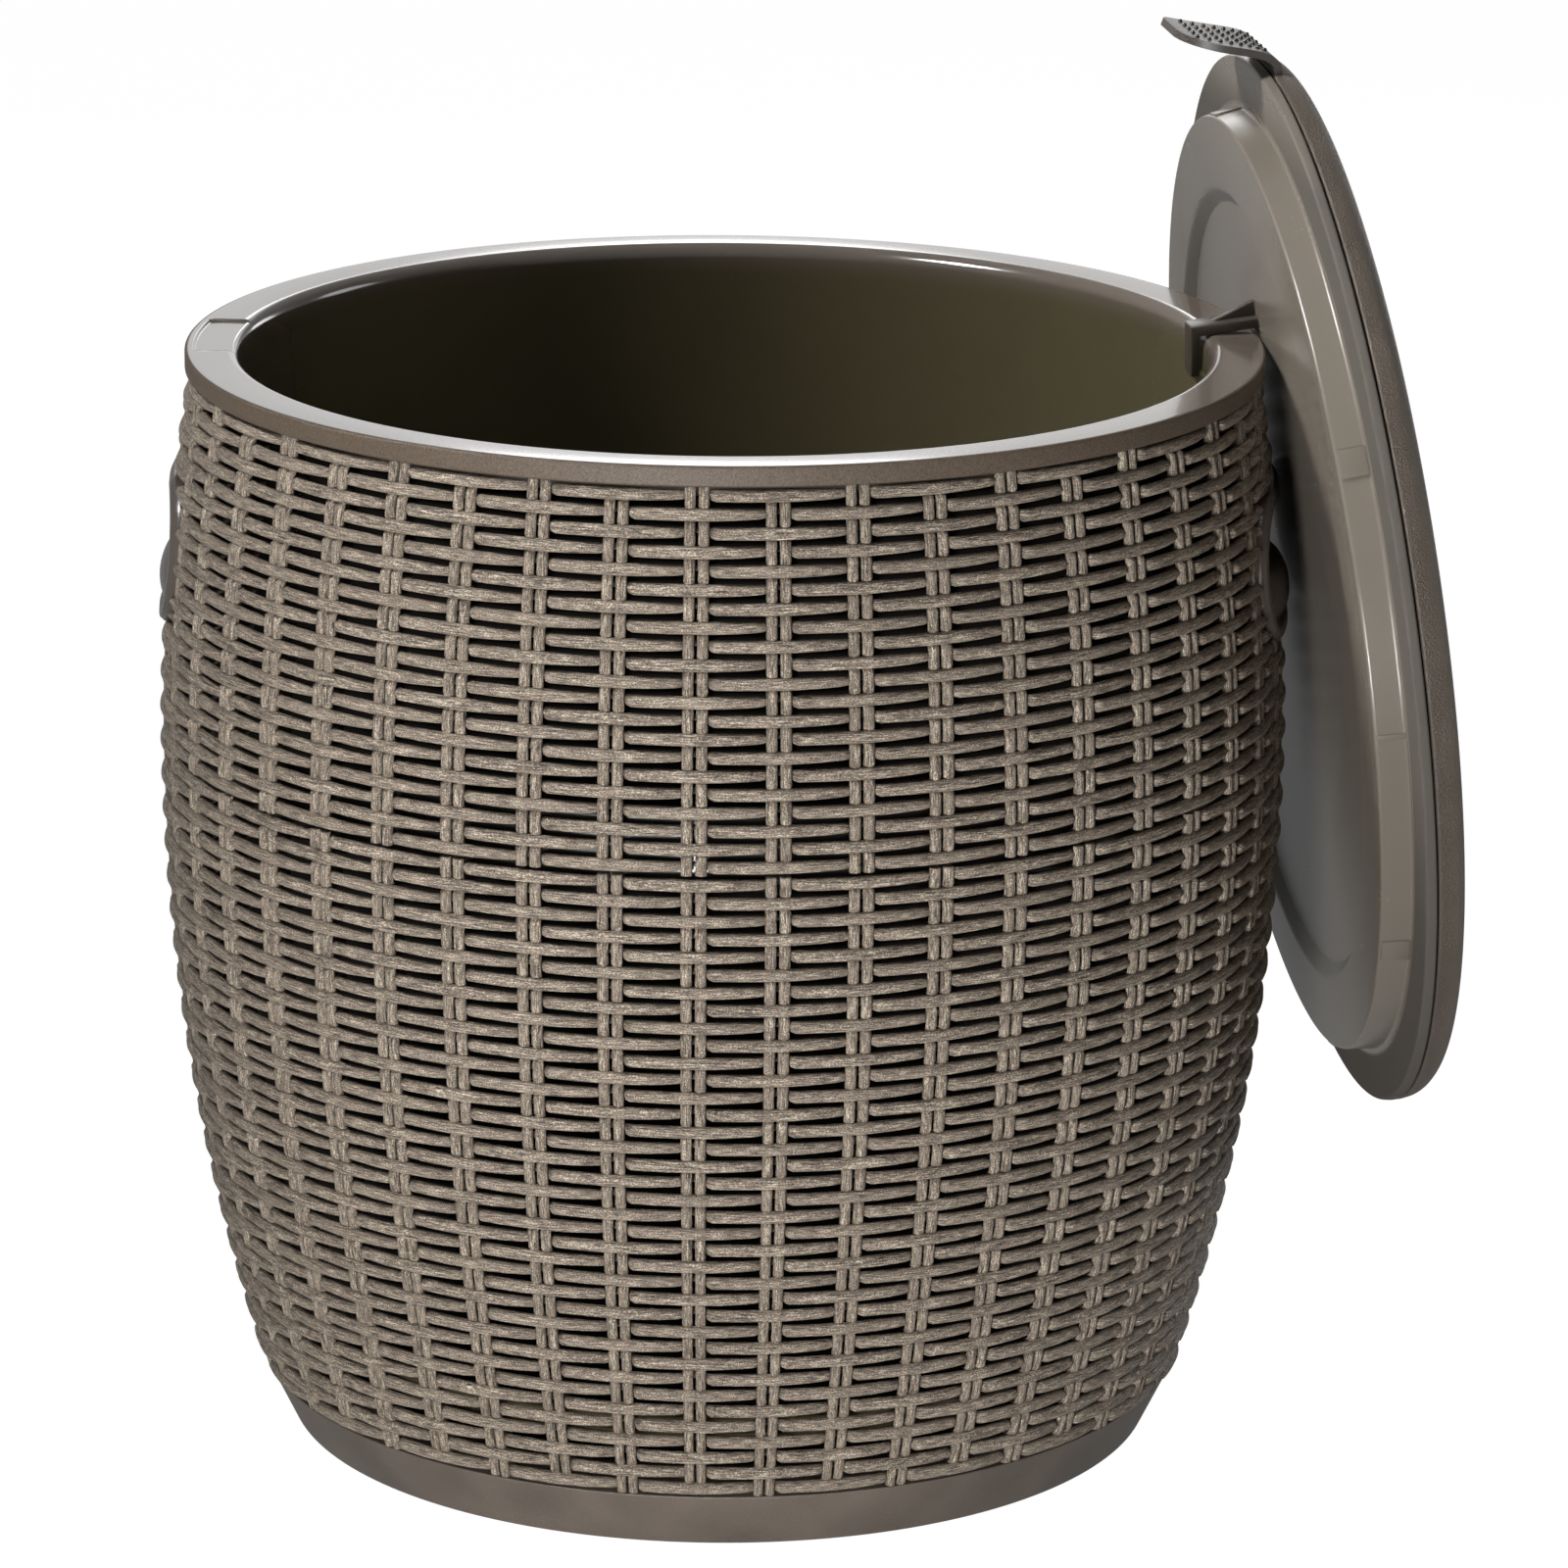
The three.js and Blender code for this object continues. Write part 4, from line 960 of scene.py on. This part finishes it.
top_profile = (
    [(0.0, LID_TOP + 0.8), (120.0, LID_TOP + 0.5)]
    + soften(
        [
            (180.0, LID_TOP),
            (LID_RADIUS - 5.5, LID_TOP - 0.7),
            (LID_RADIUS - 0.8, 11.0),
            (LID_RADIUS, LID_SEAM + LID_SEAM_GAP),
            (LID_TUCK, LID_SEAM + LID_SEAM_GAP),
        ],
        5.0,
        8,
    )
    + [(LID_TUCK, 7.6), (190.0, LID_TOP - 3.0), (0.0, LID_TOP - 2.6)]
)
top_mesh = revolve("lid_top", top_profile, even_turns(256), LID_PLACE)
piece("lid_top", top_mesh, "lid", TOP, ["lid_top_shell"], 50)

under_profile = soften(
    [
        (0.0, -DISH_FLOOR),
        (DISH_RADIUS - DISH_SLOPE, -DISH_FLOOR),
        (DISH_RADIUS, -PLUG_DEPTH),
        (PLUG_RADIUS, -PLUG_DEPTH),
        (PLUG_RADIUS + 1.5, 0.0),
        (LID_RADIUS - 0.8, 0.0),
        (LID_RADIUS, LID_SEAM),
        (LID_TUCK, LID_SEAM),
        (LID_TUCK - 0.6, 2.6),
        (PLUG_RADIUS - 2.0, 2.6),
        (PLUG_RADIUS - 3.0, LID_WALL - PLUG_DEPTH),
        (0.0, LID_WALL - DISH_FLOOR),
    ],
    1.3,
    5,
)
under_mesh = revolve("lid_underside", under_profile, even_turns(256), LID_PLACE)
piece("lid_underside", under_mesh, "lid", UNDER, ["lid_underside_shell"], 50)

KEY_TURNS = (-8, 62, 94, 125, 172, 235, 298)  # degrees round from the tab
THIN_KEY = 94  # one of them is a mere rib
KEY_HALF_WIDTH = 5.5
RIB_HALF_WIDTH = 1.1
KEY_PROUD = 0.9  # at the plug's face; it grows with the plug's draft


def slab(name, outline_points, half_width, place, corner=0.6):
    """A plate from a side outline in X and Z, given a width along Y and rounded."""
    count = len(outline_points)
    points = [(x, -half_width, z) for x, z in outline_points]
    points += [(x, half_width, z) for x, z in outline_points]
    faces = [tuple(range(count)), tuple(reversed(range(count, 2 * count)))]
    faces += [(i, i + count, (i + 1) % count + count, (i + 1) % count) for i in range(count)]
    mesh = mesh_of(name, points, faces, place)
    work = bmesh.new()
    work.from_mesh(mesh)
    bmesh.ops.recalc_face_normals(work, faces=work.faces)
    sharp = [e for e in work.edges if e.calc_face_angle(0.0) > 0.5]
    bmesh.ops.bevel(
        work, geom=sharp, offset=corner * MM, segments=3, profile=0.5, affect="EDGES"
    )
    work.to_mesh(mesh)
    work.free()
    return mesh


lean = math.tan(HANG_LEAN)
seat, back, tip = -HOOK_SEAT, -HOOK_SEAT - HOOK_THICKNESS, -HOOK_SEAT + LEG_LENGTH
drop = LEG_LENGTH * lean
hook_outline = [
    (seat, -HOOK_ROOT),
    (seat, -leg_depth),
    (tip, -leg_depth - drop),
    (tip, -leg_depth - drop - LEG_THICKNESS),
    (back, -leg_depth - LEG_THICKNESS),
    (back, -HOOK_ROOT),
]
hook_mesh = slab("lid_hook", hook_outline, HOOK_HALF_WIDTH, LID_PLACE)
piece("lid_hook", hook_mesh, "lid", HOOK, (), 40)
web_outline = [
    (back + 1.0, -HOOK_ROOT),
    (back + 1.0, -GUSSET_REACH),
    (back, -GUSSET_REACH),
    (back - GUSSET_RISE, -HOOK_ROOT - 0.4),
    (back - GUSSET_RISE, -HOOK_ROOT),
]
web_mesh = slab("lid_hook_web", web_outline, GUSSET_HALF_WIDTH, LID_PLACE, 0.4)
piece("lid_hook_web", web_mesh, "lid", HOOK, (), 40)

key_outline = [
    (0.5 - PLUG_RADIUS, KEY_PROUD - PLUG_DEPTH),
    (-PLUG_RADIUS - KEY_PROUD, KEY_PROUD - PLUG_DEPTH),
    (-PLUG_RADIUS - 2.2, -0.4),
    (0.5 - PLUG_RADIUS, -0.4),
]
for number, turn in enumerate(KEY_TURNS, 1):
    name = f"lid_key_{number}"
    key_place = LID_PLACE @ Matrix.Rotation(math.radians(turn), 4, "Z")
    half_width = RIB_HALF_WIDTH if turn == THIN_KEY else KEY_HALF_WIDTH
    key_mesh = slab(name, key_outline, half_width, key_place, 0.35)
    piece(name, key_mesh, "lid", UNDER, (), 40)

# %% [markdown]
# Tab
#
# The tab bends out round the lid's edge and has rows of small domes for grip.

# %% Tab
TAB_WIDTH = 50.0
TAB_WALL = 2.8
TAB_HEIGHT = 6.6
TAB_DROP = 28.0
TAB_FLARE = 17.0
TAB_ROOT = 180.0  # where the tab starts, between the lid's shells
TAB_ROOT_SHARE = 0.2  # of its length, which is straight
TAB_BEND = 200.3  # where its bend starts
TAB_LENGTH = 42.0
TAB_CORNER = 12.0
DOME_RADIUS = 0.9
DOME_SPACING = 8.2  # across the tab
DOME_FIRST = 0.42  # of the tab's length
DOME_STEP = 0.068


def tab_point(share):
    """The tab's middle line: distance out and height."""
    if share < TAB_ROOT_SHARE:
        return Vector((TAB_ROOT + share / TAB_ROOT_SHARE * (TAB_BEND - TAB_ROOT), TAB_HEIGHT))
    t = (share - TAB_ROOT_SHARE) / (1 - TAB_ROOT_SHARE)
    controls = [
        (TAB_BEND, TAB_HEIGHT),
        (TAB_BEND + 8.1, TAB_HEIGHT),
        (LID_RADIUS + TAB_FLARE * 0.45, -TAB_DROP * 0.35),
        (LID_RADIUS + TAB_FLARE, -TAB_DROP),
    ]
    weights = [(1 - t) ** 3, 3 * t * (1 - t) ** 2, 3 * t * t * (1 - t), t**3]
    return sum((Vector(c) * w for c, w in zip(controls, weights)), Vector((0, 0)))


def tab_frame(share):
    """A point on the middle line, and the way out of the tab's outer face."""
    here = tab_point(share)
    along = (tab_point(min(share + 0.01, 1.0)) - tab_point(max(share - 0.01, 0.0))).normalized()
    return here, Vector((-along.y, along.x))


def tab_mesh(name, place):
    """A thin plate with rounded far corners, bent along the middle line."""
    rows, columns = 48, 28
    points = []
    for face in (1, -1):
        for i in range(rows + 1):
            share = i / rows
            here, out = tab_frame(share)
            left = (1 - share) * TAB_LENGTH
            inset = TAB_CORNER - math.sqrt(TAB_CORNER**2 - max(TAB_CORNER - left, 0.0) ** 2)
            for j in range(columns + 1):
                y = (2 * j / columns - 1) * (TAB_WIDTH / 2 - inset)
                spot = here + out * face * TAB_WALL / 2
                points.append((-spot.x, y, spot.y))
    width = columns + 1
    sheet_size = width * (rows + 1)
    faces = []
    for k in range(2):
        base = k * sheet_size
        for i in range(rows):
            for j in range(columns):
                a = base + i * width + j
                faces.append((a, a + 1, a + 1 + width, a + width))
    for i in range(rows):
        for j in (0, columns):
            a, b = i * width + j, (i + 1) * width + j
            faces.append((a, b, b + sheet_size, a + sheet_size))
    for j in range(columns):
        for i in (0, rows):
            a, b = i * width + j, i * width + j + 1
            faces.append((a, b, b + sheet_size, a + sheet_size))
    return welded(mesh_of(name, points, faces, place))


def domes_tree():
    tree, given = new_tree("Domes", {"Radius": "NodeSocketFloat"})
    ball = {"Segments": 12, "Rings": 6, "Radius": given["Radius"]}
    dome = node(tree, "GeometryNodeMeshUVSphere", ball)
    copies = {"Points": given["Geometry"], "Instance": dome}
    domes = node(tree, "GeometryNodeInstanceOnPoints", copies)
    domes = node(tree, "GeometryNodeRealizeInstances", {"Geometry": domes})
    dressed = node(tree, "GeometryNodeSetMaterial", {"Geometry": domes, "Material": DOT})
    return finish_tree(tree, dressed)


def dome_points():
    """One point for each dome, in rows along the tab and across it."""
    points = []
    for i in range(8):
        here, out = tab_frame(DOME_FIRST + DOME_STEP * i)
        spot = here + out * (TAB_WALL / 2 + 0.1)
        points += [(-spot.x, (j - 2) * DOME_SPACING, spot.y) for j in range(5)]
    return mesh_of("dome_points", points, [], LID_PLACE)


piece("lid_lift_tab", tab_mesh("lid_lift_tab", LID_PLACE), "lid", DARK, ["lid_tab"], 50)
domes = grow("tab_domes", domes_tree(), {"Radius": DOME_RADIUS * MM}, dome_points())
piece("tab_domes", domes, "lid", DOT, (), 60)

# %% [markdown]
# Pieces kept from the frame
#
# The hidden insulation, the drain and the screws keep their CAD meshes and get
# finishes of their own.

# %% Pieces kept from the frame
kept = {
    "insulation_sleeve": FOAM,
    "insulation_disc": FOAM,
    "lid_core": FOAM,
    "drain_fitting": FITTING,
    "drain_nut": FITTING,
    "drain_plug": FITTING,
    "drain_gasket": RUBBER,
    "drain_plug_seal": RUBBER,
}
for number in range(1, 5):
    kept[f"base_screw_{number}"] = STEEL
for name, finish in kept.items():
    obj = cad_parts[name]
    obj.data.materials.clear()
    obj.data.materials.append(finish)
print("kept", len(kept), "pieces of the frame")

# %% [markdown]
# Studio
#
# A plain pale floor, large soft lights and a bright surround.

# %% Studio
floor_mesh = bpy.data.meshes.new("floor")
FLOOR_REACH = 30.0  # metres from the middle to each side
corners = [(-1, -1), (1, -1), (1, 1), (-1, 1)]
floor_mesh.from_pydata([(x * FLOOR_REACH, y * FLOOR_REACH, 0) for x, y in corners], [], [(0, 1, 2, 3)])
floor = bpy.data.objects.new("floor", floor_mesh)
bpy.context.scene.collection.objects.link(floor)
paper = bpy.data.materials.new("Paper floor")
paper.use_nodes = True
paper_tree = paper.node_tree
paper_shader = paper_tree.nodes["Principled BSDF"]
paper_shader.inputs["Base Color"].default_value = (0.9, 0.9, 0.9, 1)
paper_shader.inputs["Roughness"].default_value = 0.9
seen = node(paper_tree, "ShaderNodeLightPath", output="Is Camera Ray")
mirrored = node(paper_tree, "ShaderNodeLightPath", output="Is Glossy Ray")
bright = {"Color": (1, 1, 1, 1), "Strength": seen * 1.15 + mirrored * 0.28}
glow = node(paper_tree, "ShaderNodeEmission", bright)
shown = node(
    paper_tree,
    "ShaderNodeMixShader",
    [seen * 0.85 + mirrored * 0.9, Value(paper_tree, paper_shader.outputs[0]), glow],
)
paper_output = paper_tree.nodes["Material Output"]
paper_tree.links.new(shown.socket, paper_output.inputs["Surface"])
floor_mesh.materials.append(paper)

world = bpy.data.worlds.new("Studio")
bpy.context.scene.world = world
world.use_nodes = True
world_tree = world.node_tree
background = world_tree.nodes["Background"]
background.inputs["Color"].default_value = (1, 1, 1, 1)
view_ray = node(world_tree, "ShaderNodeLightPath", output="Is Camera Ray")
mirror_ray = node(world_tree, "ShaderNodeLightPath", output="Is Glossy Ray")
strength = (view_ray + mirror_ray * 0.3).most(0.08).least(1.0)
world_tree.links.new(strength.socket, background.inputs["Strength"])


def area_light(name, place, target, size, power, spread=180.0):
    lamp = bpy.data.lights.new(name, "AREA")
    lamp.shape = "DISK"
    lamp.size = size
    lamp.energy = power
    lamp.spread = math.radians(spread)
    obj = bpy.data.objects.new(name, lamp)
    bpy.context.scene.collection.objects.link(obj)
    obj.location = place
    obj.rotation_euler = (Vector(target) - Vector(place)).to_track_quat("-Z", "Y").to_euler()


area_light("key", (-0.80, -2.65, 0.14), (0, 0, 0.24), 0.5, 27.0)
area_light("low", (-0.12, -1.15, 0.08), (0, 0, 0.30), 0.24, 4.8, 120.0)
area_light("top", (-1.1, -0.3, 1.8), (0.22, 0, 0.42), 0.5, 1.9, 30.0)
area_light("back", (1.3, 2.3, 0.5), (0, 0, 0.25), 0.8, 5.0)
area_light("side", (2.3, 0.9, 1.0), (0.25, 0.05, 0.30), 0.9, 6.0)
area_light("glint", (-0.13, 2.3, 1.12), (-0.05, 0, 0.41), 0.36, 0.9)
area_light("sheen", (-0.10, 2.4, 0.95), (-0.05, 0, 0.41), 1.2, 2.8)

# %% [markdown]
# Camera
#
# The camera's place, direction and lens come from fitting the barrel's outline
# and stakes in the photograph.

# %% Camera
CAMERA_PLACE = (0.1301, -2.7353, 1.0111)
CAMERA_TILT = 16.33  # degrees down from level
CAMERA_TURN = 2.60  # degrees round from straight ahead
CAMERA_ROLL = 0.37
lens = bpy.data.cameras.new("camera")
lens.lens = 173.16
lens.sensor_width = 36.0
lens.shift_x = 0.0296
lens.shift_y = 0.0541
lens.clip_end = 100.0
camera = bpy.data.objects.new("camera", lens)
bpy.context.scene.collection.objects.link(camera)
camera.matrix_world = (
    Matrix.Translation(CAMERA_PLACE)
    @ Matrix.Rotation(math.radians(CAMERA_TURN), 4, "Z")
    @ Matrix.Rotation(math.radians(90.0 - CAMERA_TILT), 4, "X")
    @ Matrix.Rotation(math.radians(CAMERA_ROLL), 4, "Z")
)
scene = bpy.context.scene
scene.camera = camera
scene.view_settings.view_transform = "Standard"
print("camera at", [round(v, 3) for v in camera.location])
